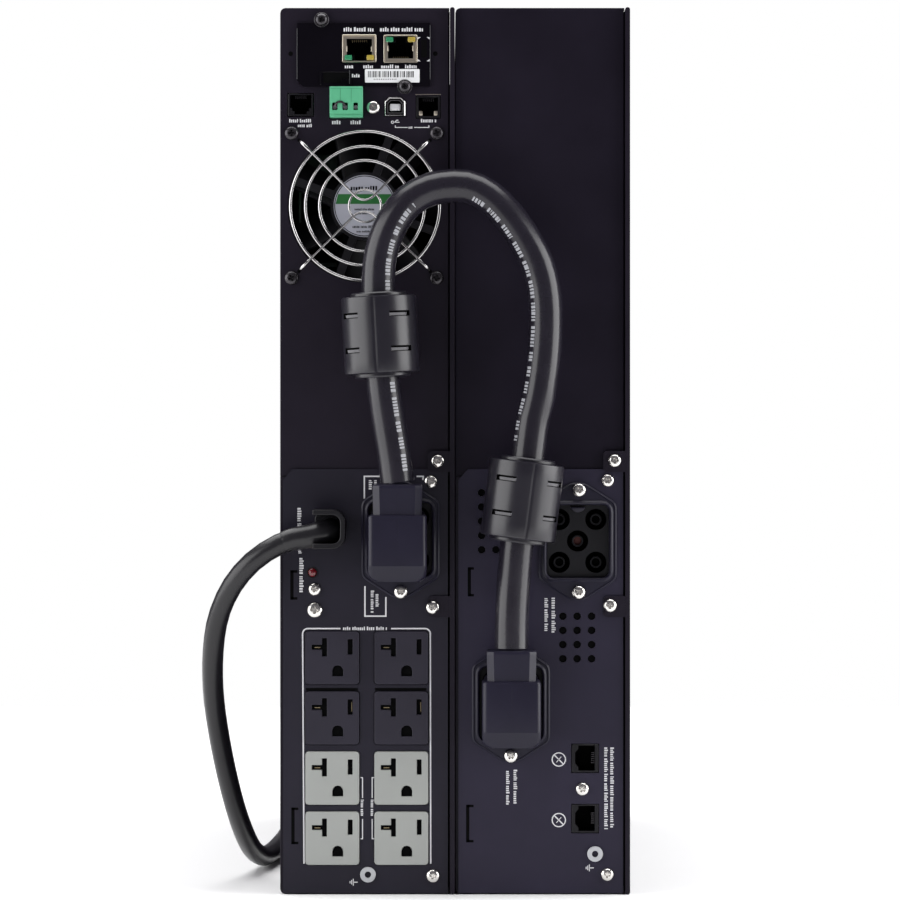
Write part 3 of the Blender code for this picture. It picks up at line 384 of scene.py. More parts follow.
def block(work, low, high, slot=0):
    """Plain box added to a mesh."""
    corners = round_rect(low[0], low[2], high[0], high[2], 0)
    stack(work, [(corners, low[1]), (corners, high[1])], slot=slot)


INK_HEIGHT = 0.00006
INK_ROOT = 0.00002  # how far a printed mark reaches into its panel
SHADOW_ROOT = 0.0001  # how far a dark patch does


def patch(work, outline, face, root=SHADOW_ROOT, slot=0):
    """Flat mark of an outline on a panel's face."""
    stack(work, [(outline, face - INK_HEIGHT), (outline, face + root)], slot=slot)


def add_tube(work, points, radius, sides=12, closed=False, slot=0):
    """Round tube along points; radius is one number or one for each point."""
    path = [Vector(p) for p in points]
    count = len(path)
    radii = radius if isinstance(radius, (list, tuple)) else [radius] * count
    tangents = []
    for i in range(count):
        if closed:
            tangents.append((path[(i + 1) % count] - path[i - 1]).normalized())
        else:
            tangents.append((path[min(i + 1, count - 1)] - path[max(i - 1, 0)]).normalized())
    guide = Vector((0, 0, 1)) if abs(tangents[0].z) < 0.9 else Vector((1, 0, 0))
    side = tangents[0].cross(guide).normalized()
    loops = []
    for i in range(count):
        side = (side - tangents[i] * side.dot(tangents[i])).normalized()
        up = tangents[i].cross(side)
        ring = []
        for k in range(sides):
            angle = math.tau * k / sides
            ring.append(work.verts.new(path[i] + (side * math.cos(angle) + up * math.sin(angle)) * radii[i]))
        loops.append(ring)
    for lower, upper in zip(loops, loops[1:]):
        bridge(work, lower, upper, slot)
    if closed:
        first, last = loops[0], loops[-1]
        turn = min(range(sides), key=lambda s: (last[0].co - first[s].co).length)
        bridge(work, last, first[turn:] + first[:turn], slot)
    else:
        work.faces.new(list(reversed(loops[0]))).material_index = slot
        work.faces.new(loops[-1]).material_index = slot


def smooth_route(points, spacing):
    """Evenly spaced points on a smooth curve through given points."""
    knots = [Vector(points[0]) * 2 - Vector(points[1])] + [Vector(p) for p in points]
    knots.append(Vector(points[-1]) * 2 - Vector(points[-2]))
    fine = []
    for a, b, c, d in zip(knots, knots[1:], knots[2:], knots[3:]):
        for step in range(40):
            t = step / 40
            bend = (2 * a - 5 * b + 4 * c - d) * t**2 + (3 * b - a - 3 * c + d) * t**3
            fine.append(0.5 * (2 * b + (c - a) * t + bend))
    fine.append(knots[-2])
    lengths = [0.0]
    for a, b in zip(fine, fine[1:]):
        lengths.append(lengths[-1] + (b - a).length)
    count = max(2, round(lengths[-1] / spacing))
    result, index = [], 0
    for i in range(count + 1):
        wanted = lengths[-1] * i / count
        while index < len(fine) - 2 and lengths[index + 1] < wanted:
            index += 1
        share = (wanted - lengths[index]) / (lengths[index + 1] - lengths[index])
        result.append(fine[index].lerp(fine[index + 1], share))
    return result


# ------------------------------------------------------------------ CAD nodes that stay
def dress(node, material, edge, flat=False):
    """Give a CAD node its material and fine rounded edges; its own mesh isn't changed.

    flat is for plain sheets, which need no blended normals.
    """
    item = NODES[node]
    item.data.materials.clear()
    item.data.materials.append(material)
    if flat:
        item.data.shade_flat()
    else:
        item.data.shade_smooth()
    weld = item.modifiers.new("weld", "WELD")
    weld.merge_threshold = 0.000005
    flats = item.modifiers.new("flats", "DECIMATE")
    flats.decimate_type = "DISSOLVE"
    flats.angle_limit = math.radians(0.6)
    if edge:
        bevel = item.modifiers.new("edges", "BEVEL")
        bevel.width = edge
        bevel.segments = 2
        bevel.limit_method = "ANGLE"
        bevel.angle_limit = math.radians(40)
    if not flat:
        level = item.modifiers.new("normals", "WEIGHTED_NORMAL")
        level.weight = 100


LOOKS = (
    (COAT, 0.0003, ("ups_chassis", "cabinet_chassis", "ups_cover", "cabinet_cover")),
    (BEZEL, 0.0005, ("ups_bezel", "cabinet_bezel")),
    (BEZEL, 0.0004, ("ups_battery_door", "cabinet_door_lower", "cabinet_door_upper")),
    (CARD_COAT, 0.0002, ("network_card",)),
    (ZINC, 0.0002, ("ups_ground_nut", "cabinet_ground_nut")),
    (MOULDED, 0.0003, ("control_panel", "fan_rotor")),
    (MOULDED, 0.0004, ("fan_frame",)),
    (BUTTON, 0.0006, ("button_off", "button_test", "button_on")),
    (TRAY, 0.0003, ("ups_battery_tray", "cabinet_tray_lower", "cabinet_tray_upper")),
    (CASE, 0.0008, ("ups_battery_pack", "cabinet_pack_lower", "cabinet_pack_upper")),
    (BOARD, 0.0003, ("main_board",)),
    (CORE, 0.0006, ("transformer",)),
    (OUTLET_PALE, 0.0003, ("outlet_a1", "outlet_a2", "outlet_b1", "outlet_b2")),
    (OUTLET_DARK, 0.0003, ("outlet_a3", "outlet_a4", "outlet_b3", "outlet_b4")),
)
FLAT_LOOKS = (
    (COAT, "ups_rear_panel"), (CABINET_COAT_SHADED, "cabinet_rear_panel"), (PLATE_COAT_LIT, "ups_power_panel"),
    (CABINET_PLATE_COAT_LIT, "cabinet_connector_panel"),
)


def dress_frame():
    for material, edge, nodes in LOOKS:
        for node in nodes:
            dress(node, material, edge)
    for material, node in FLAT_LOOKS:
        dress(node, material, 0.0002, flat=True)


# ------------------------------------------------------------------ cords
CABLE_DEPTH = -0.0235
CABLE_R = 0.00835
CABLE_ROUTE = (
    (-0.0284, 0.2052), (-0.0303, 0.2200), (-0.0336, 0.2400), (-0.0358, 0.2576), (-0.0368, 0.2776),
    (-0.0379, 0.2976), (-0.0370, 0.3156), (-0.0320, 0.3310), (-0.0245, 0.3420), (-0.0152, 0.3482),
    (-0.0050, 0.3508), (0.0066, 0.3506), (0.0171, 0.3452), (0.0265, 0.3358), (0.0347, 0.3240),
    (0.0412, 0.3105), (0.0444, 0.2937), (0.0441, 0.2702), (0.0410, 0.2470), (0.0384, 0.2366),
    (0.0358, 0.2166), (0.0332, 0.1962), (0.0306, 0.1762), (0.0288, 0.1550), (0.0279, 0.1380),
    (0.0278, 0.1232),
)
# printed rows: start and end along the cable, distance aside of its middle at each end, seed
CABLE_PRINT = (
    (0.005, 0.049, 0.0046, 0.0046, 71), (0.095, 0.143, 0.0049, 0.0036, 72),
    (0.179, 0.316, 0.0050, 0.0073, 73),
)
CABLE_PRINT_HEIGHT = 0.0027
CORD_R = 0.00525
UPS_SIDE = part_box("ups_chassis")[0].x - CORD_R - 0.0012
COIL = middle("power_cord_coil")
COIL_OUTER = (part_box("power_cord_coil")[1].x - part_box("power_cord_coil")[0].x) / 2
CORD_ROUTE = (
    (-0.0716, REAR - 0.0130, 0.1782), (-0.0800, REAR - 0.0131, 0.1768), (-0.0905, REAR - 0.0130, 0.1725),
    (-0.1020, REAR - 0.0115, 0.1640), (-0.1115, REAR - 0.0070, 0.1520), (-0.1180, REAR + 0.0010, 0.1370),
    (-0.1210, REAR + 0.0120, 0.1190), (-0.1215, REAR + 0.0260, 0.0985), (-0.1195, REAR + 0.0420, 0.0770),
    (-0.1160, REAR + 0.0610, 0.0540), (-0.1115, REAR + 0.0840, 0.0320), (-0.1065, REAR + 0.1110, 0.0150),
    (-0.1020, REAR + 0.1420, 0.0072), (-0.0985, REAR + 0.1760, 0.0055), (-0.0955, REAR + 0.2300, 0.0055),
    (UPS_SIDE, REAR + 0.3000, 0.0055), (UPS_SIDE, REAR + 0.4000, 0.0055), (UPS_SIDE, REAR + 0.5000, 0.0055),
    (UPS_SIDE, COIL.y - 0.0386, 0.0055),
)


def curve_piece(name, points, radius, material, replaces):
    """Round cable as one open spline."""
    curve = bpy.data.curves.new(name, "CURVE")
    curve.dimensions = "3D"
    curve.bevel_depth = radius
    curve.bevel_resolution = 6
    curve.use_fill_caps = True
    spline = curve.splines.new("POLY")
    spline.points.add(len(points) - 1)
    for target, point in zip(spline.points, points):
        target.co = (*point, 1.0)
        target.radius = 1.0
    spline.use_smooth = True
    curve.materials.append(material)
    piece = bpy.data.objects.new(name, curve)
    bpy.context.scene.collection.objects.link(piece)
    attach(piece, HOUSINGS)
    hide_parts(*replaces)
    return piece


def coil_points():
    """Turns wound inwards on the floor, then outwards on top, clockwise from above."""
    columns, turns, steps = 3, 4.25, 145
    outer = COIL_OUTER - CORD_R
    pitch = 2 * CORD_R
    low = CORD_R + 0.0003
    half = turns / 2
    points = []
    for i in range(1, steps + 1):
        along = i / steps * turns
        share = min(along, turns - along) / half
        radius = outer - (columns - 1) * pitch * min(1.0, share * 1.06)
        climb = min(1.0, max(0.0, (along - half + 0.12) / 0.24))
        climb = climb * climb * (3 - 2 * climb)
        angle = math.pi - along * math.tau
        x, y = COIL.x + radius * math.cos(angle), COIL.y + radius * math.sin(angle)
        points.append((x, y, low + climb * pitch))
    return points


def make_power_cord():
    lead_end = (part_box("power_plug")[0].x + 0.010, middle("power_plug").y, 0.0158)
    run = smooth_route(CORD_ROUTE, 0.008)
    coil = coil_points()
    join = [(UPS_SIDE, COIL.y - 0.020, 0.00555), (UPS_SIDE, COIL.y - 0.008, 0.00555)]
    lead = [(coil[-1][0] + 0.012, coil[-1][1] + 0.001, 0.0160), lead_end]
    path = [tuple(p) for p in run] + join + coil + lead
    stands_for = ("power_cord", "power_cord_coil")
    return curve_piece("power_cord_flex", path, CORD_R, CORD, stands_for)


def place_along(path, along):
    """Point and direction at a distance along a route."""
    for a, b in zip(path, path[1:]):
        step = (b - a).length
        if along <= step:
            return a.lerp(b, along / step), (b - a).normalized()
        along -= step
    return path[-1], (path[-1] - path[-2]).normalized()


def add_cable_bar(work, path, start, end, aside):
    """One printed bar wrapped on the cable; aside is its distance to the right of the cable's middle."""
    loops = []
    for along in (start, end):
        centre, heading = place_along(path, along)
        right = Vector((heading.z, 0, -heading.x))
        loop = []
        for radius, order in ((CABLE_R + INK_HEIGHT, (-1, 0, 1)), (CABLE_R - 0.0004, (1, 0, -1))):
            for side in order:
                turn = math.asin(aside / CABLE_R) + side * CABLE_PRINT_HEIGHT / 2 / CABLE_R
                out = right * math.sin(turn) + Vector((0, -math.cos(turn), 0))
                loop.append(work.verts.new(centre + out * radius))
        loops.append(loop)
    bridge(work, loops[0], loops[1])
    work.faces.new(list(reversed(loops[0])))
    work.faces.new(loops[1])


def make_cable_print(path):
    """Rows of plain bars along the battery cable, in place of its printed legend."""
    work = bmesh.new()
    for start, end, aside, aside_end, seed in CABLE_PRINT:
        dice = random.Random(seed)
        along, word = start, dice.randint(3, 6)
        while along < end:
            width = CABLE_PRINT_HEIGHT * dice.uniform(0.30, 0.55)
            share = (along - start) / (end - start)
            add_cable_bar(work, path, along, along + width, aside + (aside_end - aside) * share)
            along += width + CABLE_PRINT_HEIGHT * 0.22
            word -= 1
            if word == 0:
                along += CABLE_PRINT_HEIGHT * 0.8
                word = dice.randint(3, 6)
    return as_piece("cable_print", work, CABLE_INK)


# ------------------------------------------------------------------ screws
def plus_outline(x, z, reach, half, turn):
    """Twelve corners of a cross, anticlockwise."""
    corners = [
        (reach, -half), (reach, half), (half, half), (half, reach), (-half, reach), (-half, half),
        (-reach, half), (-reach, -half), (-half, -half), (-half, -reach), (half, -reach), (half, -half),
    ]
    c, s = math.cos(turn), math.sin(turn)
    return [(x + a * c - b * s, z + a * s + b * c) for a, b in corners]


def fill_between(work, loops, slot=0):
    """Flat face between an outer loop and the loops inside it."""
    edges = [edge for loop in loops for edge in edges_of(loop)]
    made = bmesh.ops.triangle_fill(work, use_beauty=True, use_dissolve=False, edges=edges)
    for item in made["geom"]:
        if isinstance(item, bmesh.types.BMFace):
            item.material_index = slot


def add_screw(work, x, z, face, radius, height=0.0021, turn=0.0):
    """Pan head with a tapered cross recess."""
    profile = [
        (0, face + 0.0002), (radius, face + 0.0002), (radius, face - height * 0.30),
        (radius * 0.97, face - height * 0.48), (radius * 0.90, face - height * 0.66),
        (radius * 0.79, face - height * 0.82), (radius * 0.64, face - height * 0.94),
        (radius * 0.50, face - height),
    ]
    rings = turned(work, profile, (x, z), 32)
    cross = loop_at(work, plus_outline(x, z, radius * 0.47, radius * 0.15, turn), face - height)
    deep = loop_at(work, plus_outline(x, z, radius * 0.24, radius * 0.07, turn), face - height * 0.15)
    bridge(work, cross, deep)
    work.faces.new(deep)
    fill_between(work, [rings[-1], cross])


# x, z, head radius, face
SILVER_SCREWS = (
    (-0.0086, 0.2154, 0.0033, TAB), (-0.0120, 0.2051, 0.0033, PLATE), (-0.0698, 0.1516, 0.0032, PLATE),
    (-0.0697, 0.1413, 0.0039, PLATE), (-0.0112, 0.1427, 0.0034, TAB), (-0.0110, 0.0091, 0.0034, PLATE),
    (0.0793, 0.2156, 0.0033, TAB), (0.0759, 0.2057, 0.0033, PLATE), (0.0770, 0.1436, 0.0034, TAB),
    (0.0633, 0.0523, 0.0034, PLATE), (0.0757, 0.0098, 0.0033, PLATE), (-0.0407, 0.3913, 0.0034, REAR),
)
CONNECTOR_SCREWS = ((-0.0270, 0.1504), (0.0616, 0.2010), (0.0614, 0.1502), (0.0277, 0.0689))
FAN_SCREWS = ((-0.0813, 0.3785), (-0.0091, 0.3785), (-0.0813, 0.3065), (-0.0091, 0.3065))
CARD_SCREWS = ((-0.0664, 0.4348), (-0.0250, 0.4015))


def make_screws():
    """Panel, connector, fan and card screws, each head turned by its own angle."""
    spin = random.Random(5)
    work = bmesh.new()
    for x, z, radius, face in SILVER_SCREWS:
        add_screw(work, x, z, face, radius, turn=spin.uniform(0, 1.5))
    for x, z in CONNECTOR_SCREWS:
        add_screw(work, x, z, SOCKET_FACE, 0.0034, 0.0020, spin.uniform(0, 1.5))
    as_piece("steel_screws", work, NICKEL)
    work = bmesh.new()
    for x, z in FAN_SCREWS:
        add_screw(work, x, z, REAR, 0.0035, 0.0022, spin.uniform(0, 1.5))
    as_piece("fan_screws", work, BLACK_SCREW)
    work = bmesh.new()
    washer = [
        (0, CARD_FACE + 0.0002), (0.0037, CARD_FACE + 0.0002), (0.0037, CARD_FACE - 0.0003),
        (0.0035, CARD_FACE - 0.0005), (0, CARD_FACE - 0.0005),
    ]
    for x, z in CARD_SCREWS:
        turned(work, washer, (x, z), 32)
        add_screw(work, x, z, CARD_FACE - 0.0004, 0.0031, 0.0026, spin.uniform(0, 1.5))
    as_piece("card_screws", work, BLACK_SCREW, body=CARD)


# ------------------------------------------------------------------ printed marks
def add_bars(work, row, face, down=False, slot=0):
    """Row of short plain bars that stands for a printed legend; down turns it to run along -Z."""
    x, z, length, height, seed = row
    dice = random.Random(seed)
    along = 0.0
    word = dice.randint(4, 7)
    while along < length - height * 0.25:
        width = min(height * dice.uniform(0.26, 0.46), length - along)
        tall = height * dice.choice((1.0, 0.78, 0.72, 0.82))
        if down:
            low = (x, face - INK_HEIGHT, z - along - width)
            high = (x + tall, face + INK_ROOT, z - along)
        else:
            low = (x + along, face - INK_HEIGHT, z)
            high = (x + along + width, face + INK_ROOT, z + tall)
        block(work, low, high, slot)
        along += width + height * 0.20
        word -= 1
        if word == 0:
            along += height * 0.34
            word = dice.randint(4, 7)


def ribbon(work, points, width, face, closed=False):
    """Printed line of even width through points on a panel."""
    count = len(points)
    lefts, rights = [], []
    for i in range(count):
        before = Vector(points[i]) - Vector(points[i - 1]) if i or closed else None
        after = Vector(points[(i + 1) % count]) - Vector(points[i]) if i < count - 1 or closed else None
        before = (before or after).normalized()
        after = (after or before).normalized()
        lean = Vector((-before.y - after.y, before.x + after.x))
        lean /= max(0.3, lean.length_squared / 2)
        lefts.append((points[i][0] + lean.x * width / 2, points[i][1] + lean.y * width / 2))
        rights.append((points[i][0] - lean.x * width / 2, points[i][1] - lean.y * width / 2))
    tops = [loop_at(work, side, face - INK_HEIGHT) for side in (lefts, rights)]
    feet = [loop_at(work, side, face + INK_ROOT) for side in (lefts, rights)]
    for i in range(count if closed else count - 1):
        j = (i + 1) % count
        work.faces.new((tops[0][i], tops[0][j], tops[1][j], tops[1][i]))
        work.faces.new((feet[0][i], feet[0][j], feet[1][j], feet[1][i]))
        work.faces.new((tops[0][i], tops[0][j], feet[0][j], feet[0][i]))
        work.faces.new((tops[1][i], tops[1][j], feet[1][j], feet[1][i]))
    if not closed:
        for i in (0, count - 1):
            work.faces.new((tops[0][i], tops[1][i], feet[1][i], feet[0][i]))


def ground_mark(work, x, z, face):
    """Bonding symbol on its side: a stem and three shrinking strokes."""
    ribbon(work, [(x + 0.0022, z), (x, z)], 0.0005, face)
    for i, half in enumerate((0.0017, 0.0011, 0.0006)):
        ribbon(work, [(x - i * 0.0008, z - half), (x - i * 0.0008, z + half)], 0.00045, face)


def stop_mark(work, x, z, face):
    """Plain ring with a slash."""
    ribbon(work, circle(x, z, 0.0033, 40), 0.00055, face, closed=True)
    ribbon(work, [(x - 0.0022, z + 0.0022), (x + 0.0022, z - 0.0022)], 0.0006, face)
    ribbon(work, [(x - 0.0012, z - 0.0014), (x + 0.0012, z + 0.0014)], 0.0004, face)


# rows of bars: x, z, length, height, seed; those on the lower panels run down
UPPER_LEGENDS = (
    (-0.0825, 0.3839, 0.0113, 0.0017, 1), (-0.0782, 0.3815, 0.0076, 0.0017, 2),
    (-0.0612, 0.3830, 0.0045, 0.0020, 3), (-0.0520, 0.3830, 0.0050, 0.0020, 4),
    (-0.0170, 0.3839, 0.0076, 0.0018, 5), (-0.0231, 0.3808, 0.0023, 0.0013, 6),
)
LOWER_LEGENDS = (
    (-0.0784, 0.1921, 0.0098, 0.0020, 7), (-0.0779, 0.1708, 0.0014, 0.0016, 8),
    (-0.0774, 0.1672, 0.0172, 0.0021, 9), (-0.0419, 0.1510, 0.0114, 0.0017, 10),
    (-0.0395, 0.1492, 0.0072, 0.0017, 11), (-0.0429, 0.2059, 0.0048, 0.0018, 12),
    (-0.0402, 0.2059, 0.0036, 0.0016, 13),
)
CABINET_LEGENDS = (
    (0.0480, 0.1475, 0.0178, 0.0020, 21), (0.0445, 0.1472, 0.0172, 0.0018, 22),
    (0.0291, 0.0619, 0.0181, 0.0018, 23), (0.0254, 0.0613, 0.0171, 0.0017, 24),
    (0.0772, 0.0730, 0.0406, 0.0018, 25), (0.0742, 0.0730, 0.0406, 0.0018, 26),
)
UPPER_LINES = (
    ((-0.0306, 0.3840), (-0.0276, 0.3840)), ((-0.0300, 0.3840), (-0.0290, 0.3850), (-0.0282, 0.3850)),
    ((-0.0297, 0.3824), (-0.0297, 0.3814), (-0.0236, 0.3814)),
    ((-0.0130, 0.3824), (-0.0130, 0.3814), (-0.0203, 0.3814)),
)
CONNECTOR_LINES = (
    ((-0.0451, 0.1967), (-0.0451, 0.2078), (-0.0375, 0.2078)),
    ((-0.0191, 0.2078), (-0.0158, 0.2078), (-0.0160, 0.2060)),
    ((-0.0448, 0.1532), (-0.0448, 0.1383), (-0.0344, 0.1383), (-0.0344, 0.1478)),
)
# frame round the receptacles
FRAME_LEFT, FRAME_RIGHT = -0.0758, -0.0123
FRAME_TOP, FRAME_LOW = 0.1321, 0.0152
FRAME_CORNER = 0.0026


def make_ups_marks():
    """Bars, leader lines and the frame round the receptacles."""
    work = bmesh.new()
    for row in UPPER_LEGENDS:
        add_bars(work, row, REAR)
    ribbon(work, circle(-0.0311, 0.3840, 0.0006, 16), 0.0004, REAR, closed=True)
    for line in UPPER_LINES:
        ribbon(work, line, 0.0004, REAR)
    for row in LOWER_LEGENDS:
        add_bars(work, row, PLATE, down=True)
    for line in CONNECTOR_LINES:
        ribbon(work, line, 0.0007, PLATE)
    shoulder = FRAME_TOP - FRAME_CORNER
    for side, foot, end, turn in ((FRAME_LEFT, 0.0007, -0.0570, 1), (FRAME_RIGHT, 0.0002, -0.0318, -1)):
        middle_x = side + turn * FRAME_CORNER
        bend = arc(middle_x, shoulder, FRAME_CORNER, 90 + turn * 75, 90, 5)
        outline = [(side + foot, FRAME_LOW), (side, shoulder)] + bend + [(end, FRAME_TOP)]
        ribbon(work, outline, 0.0007, PLATE)
    add_bars(work, (-0.0557, 0.1313, 0.0226, 0.0018, 14), PLATE)
    for inner, outer, left in ((-0.0460, -0.0470, -0.0469), (-0.0412, -0.0402, -0.0419)):
        for tip, corner in ((0.0479, 0.0580), (0.0374, 0.0276)):
            ribbon(work, [(outer, corner), (inner, corner), (inner, tip)], 0.0005, PLATE)
        add_bars(work, (left, 0.0470, 0.0086, 0.0016, 15), PLATE, down=True)
    ground_mark(work, -0.0506, 0.0060, PLATE)
    as_piece("ups_print", work, INK)


def make_cabinet_marks():
    work = bmesh.new()
    for row in CABINET_LEGENDS:
        add_bars(work, row, PLATE, down=True)
    stop_mark(work, 0.0516, 0.0670, PLATE)
    stop_mark(work, 0.0516, 0.0369, PLATE)
    ground_mark(work, 0.0668, 0.0131, PLATE)
    as_piece("cabinet_print", work, INK)


# ------------------------------------------------------------------ network card fittings
CARD = "network_card"
CARD_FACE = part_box("network_card")[0].y


def add_jack(work, node, flip):
    """Shielded modular jack: two-step shell, keyed mouth, two lamps, springs and contact fingers.

    flip is 1 where the latch key is at the top and -1 where it is at the foot.
    """
    low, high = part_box(node)
    mid_x = middle(node).x
    key_z, far_z = (low.z, high.z) if flip < 0 else (high.z, low.z)
    front = CARD_FACE - 0.0006
    step, floor = front + 0.0007, CARD_FACE + 0.0110
    outer = round_rect(low.x, low.z, high.x, high.z, 0.0006, 3)
    shell = stack(work, [
        (outer, CARD_FACE + 0.0180), (outer, front + 0.0002), (inset(outer, 0.0002), front),
        (inset(outer, 0.0006), front), (inset(outer, 0.0008), step),
    ], cap_end=False)
    foot, top = sorted((key_z - flip * 0.0008, far_z + flip * 0.0021))
    core = round_rect(low.x + 0.0021, foot, high.x - 0.0021, top, 0)
    rim = stack(work, [(core, step), (core, step + 0.0006)], cap_start=False, cap_end=False)
    fill_between(work, [shell[-1], rim[0]])
    half, key, shelf = 0.0060, 0.0024, key_z - flip * 0.0038
    far, tip = far_z + flip * 0.0024, key_z - flip * 0.0011
    edge = [(half, far), (half, shelf), (key, shelf), (key, tip)]
    opening = [(mid_x - a, z) for a, z in edge] + [(mid_x + a, z) for a, z in reversed(edge)]
    inside = stack(work, [(opening, step + 0.0006), (opening, floor)], cap_start=False, slot=1)
    fill_between(work, [rim[-1], inside[0]], 1)
    for side, lamp in ((-1, 2), (1, 3)):
        window = round_rect(*centred(mid_x + side * 0.0055, key_z - flip * 0.0023, 0.0038, 0.0026), 0.0006, 3)
        pad(work, window, front - 0.0002, step + 0.0008, 0.0004, lamp)
        spring_z = (key_z + far_z) / 2 + flip * 0.0002
        spring = round_rect(*centred(mid_x + side * 0.0062, spring_z, 0.0008, 0.0028), 0.0003, 2)
        pad(work, spring, front + 0.0001, step + 0.0007, 0.0003)
    foot, top = sorted((far, far + flip * 0.0009))
    for k in range(8):
        x = mid_x + (k - 3.5) * 0.00102
        block(work, (x - 0.0002, step + 0.0040, foot), (x + 0.0002, floor, top), 4)


def make_jacks():
    materials = [STAMPED, DARK, LED_GREEN, LED_AMBER, BRASS]
    for node, flip in (("card_jack_a", -1), ("card_jack_b", 1)):
        work = bmesh.new()
        add_jack(work, node, flip)
        as_piece(node + "_detail", work, materials, body=CARD, replaces=[node])


CARD_LEGENDS = (
    (-0.0554, 0.4290, 0.0152, 0.0021, 31), (-0.0373, 0.4290, 0.0218, 0.0021, 32),
    (-0.0548, 0.4107, 0.0044, 0.0018, 33), (-0.0456, 0.4107, 0.0054, 0.0018, 34),
    (-0.0367, 0.4107, 0.0095, 0.0018, 35), (-0.0248, 0.4107, 0.0066, 0.0018, 36),
    (-0.0513, 0.4062, 0.0050, 0.0017, 37),
)


def make_card_marks():
    """Bars and corner marks on the card, and a paper label with plain strokes."""
    work = bmesh.new()
    for row in CARD_LEGENDS:
        add_bars(work, row, CARD_FACE)
    for x, turn in ((-0.0186, 1), (-0.0126, -1)):
        for z, rise in ((0.4142, 1), (0.4262, -1)):
            corner = [(x, z), (x + turn * 0.0015, z), (x, z + rise * 0.0012)]
            patch(work, corner, CARD_FACE, INK_ROOT)
    as_piece("card_print", work, INK, body=CARD)
    label = bmesh.new()
    paper = round_rect(-0.0448, 0.4036, -0.0176, 0.4103, 0.0005, 3)
    pad(label, paper, CARD_FACE - 0.00012, CARD_FACE + INK_ROOT, 0.00005)
    ink_front, ink_back = CARD_FACE - 0.00016, CARD_FACE - 0.00010
    dice = random.Random(41)
    x = -0.0433
    while x < -0.0207:
        width = dice.choice((0.00022, 0.00035, 0.00055))
        block(label, (x, ink_front, 0.4062), (x + width, ink_back, 0.4093), slot=1)
        x += width + dice.choice((0.00028, 0.00042, 0.0007))
    x = -0.0404
    while x < -0.0295:
        block(label, (x, ink_front, 0.4050), (x + 0.0004, ink_back, 0.4055), slot=1)
        x += 0.0009
    as_piece("card_label", label, [PAPER, DARK], body=CARD)


def make_card_details():
    """Two dark pads that paint the shade in the slot and a small square port, a small grille, two rails, and
    painted highlights along the card's edges and the slot's sides and top; dark discs that paint the shade in
    two holes beside it.
    """
    work = bmesh.new()
    # Flat dark pads: painted shade in the slot and the square port.
    for window in (round_rect(-0.0655, 0.4034, -0.0526, 0.4086, 0.0003, 2),
                   round_rect(-0.0168, 0.4162, -0.0140, 0.4248, 0.0004, 3)):
        pad(work, window, CARD_FACE - 0.00008, CARD_FACE + 0.0001, 0.00004, 1)
    for i in range(4):
        x = -0.0566 + i * 0.0010
        block(work, (x, CARD_FACE - 0.0004, 0.4036), (x + 0.0006, CARD_FACE, 0.4056))
    for x in (-0.0668, -0.0519):
        rail = round_rect(x - 0.0004, 0.4026, x + 0.0004, 0.4090, 0.0002, 2)
        pad(work, rail, CARD_FACE - 0.0007, CARD_FACE, 0.0002)
    # Thin raised strips in lighter materials: painted highlights along the card's edges and the slot's sides
    # and top.
    line = 0.00025
    for x, foot, top in ((-0.0787, 0.4054, 0.4306), (-0.0125, 0.4052, 0.4322), (-0.0669, 0.4024, 0.4088),
                         (-0.0526, 0.4030, 0.4098)):
        block(work, (x, CARD_FACE - line, foot), (x + line, CARD_FACE, top), slot=2)
    block(work, (-0.0664, CARD_FACE - line, 0.4087), (-0.0528, CARD_FACE, 0.4089), slot=3)
    as_piece("card_slot_shade_and_highlights", work, [CARD_COAT, DARK, TRAY, BLACK_SCREW], body=CARD)
    # Flat dark discs on the panel: painted shade where two holes are.
    holes = bmesh.new()
    hole = [(0, REAR - 0.0001), (0.0011, REAR - 0.0001), (0.0012, REAR + 0.0001), (0, REAR + 0.0001)]
    for x in (-0.0818, -0.0098):
        turned(holes, hole, (x, 0.4181), 24)
    as_piece("panel_hole_shade", holes, DARK)


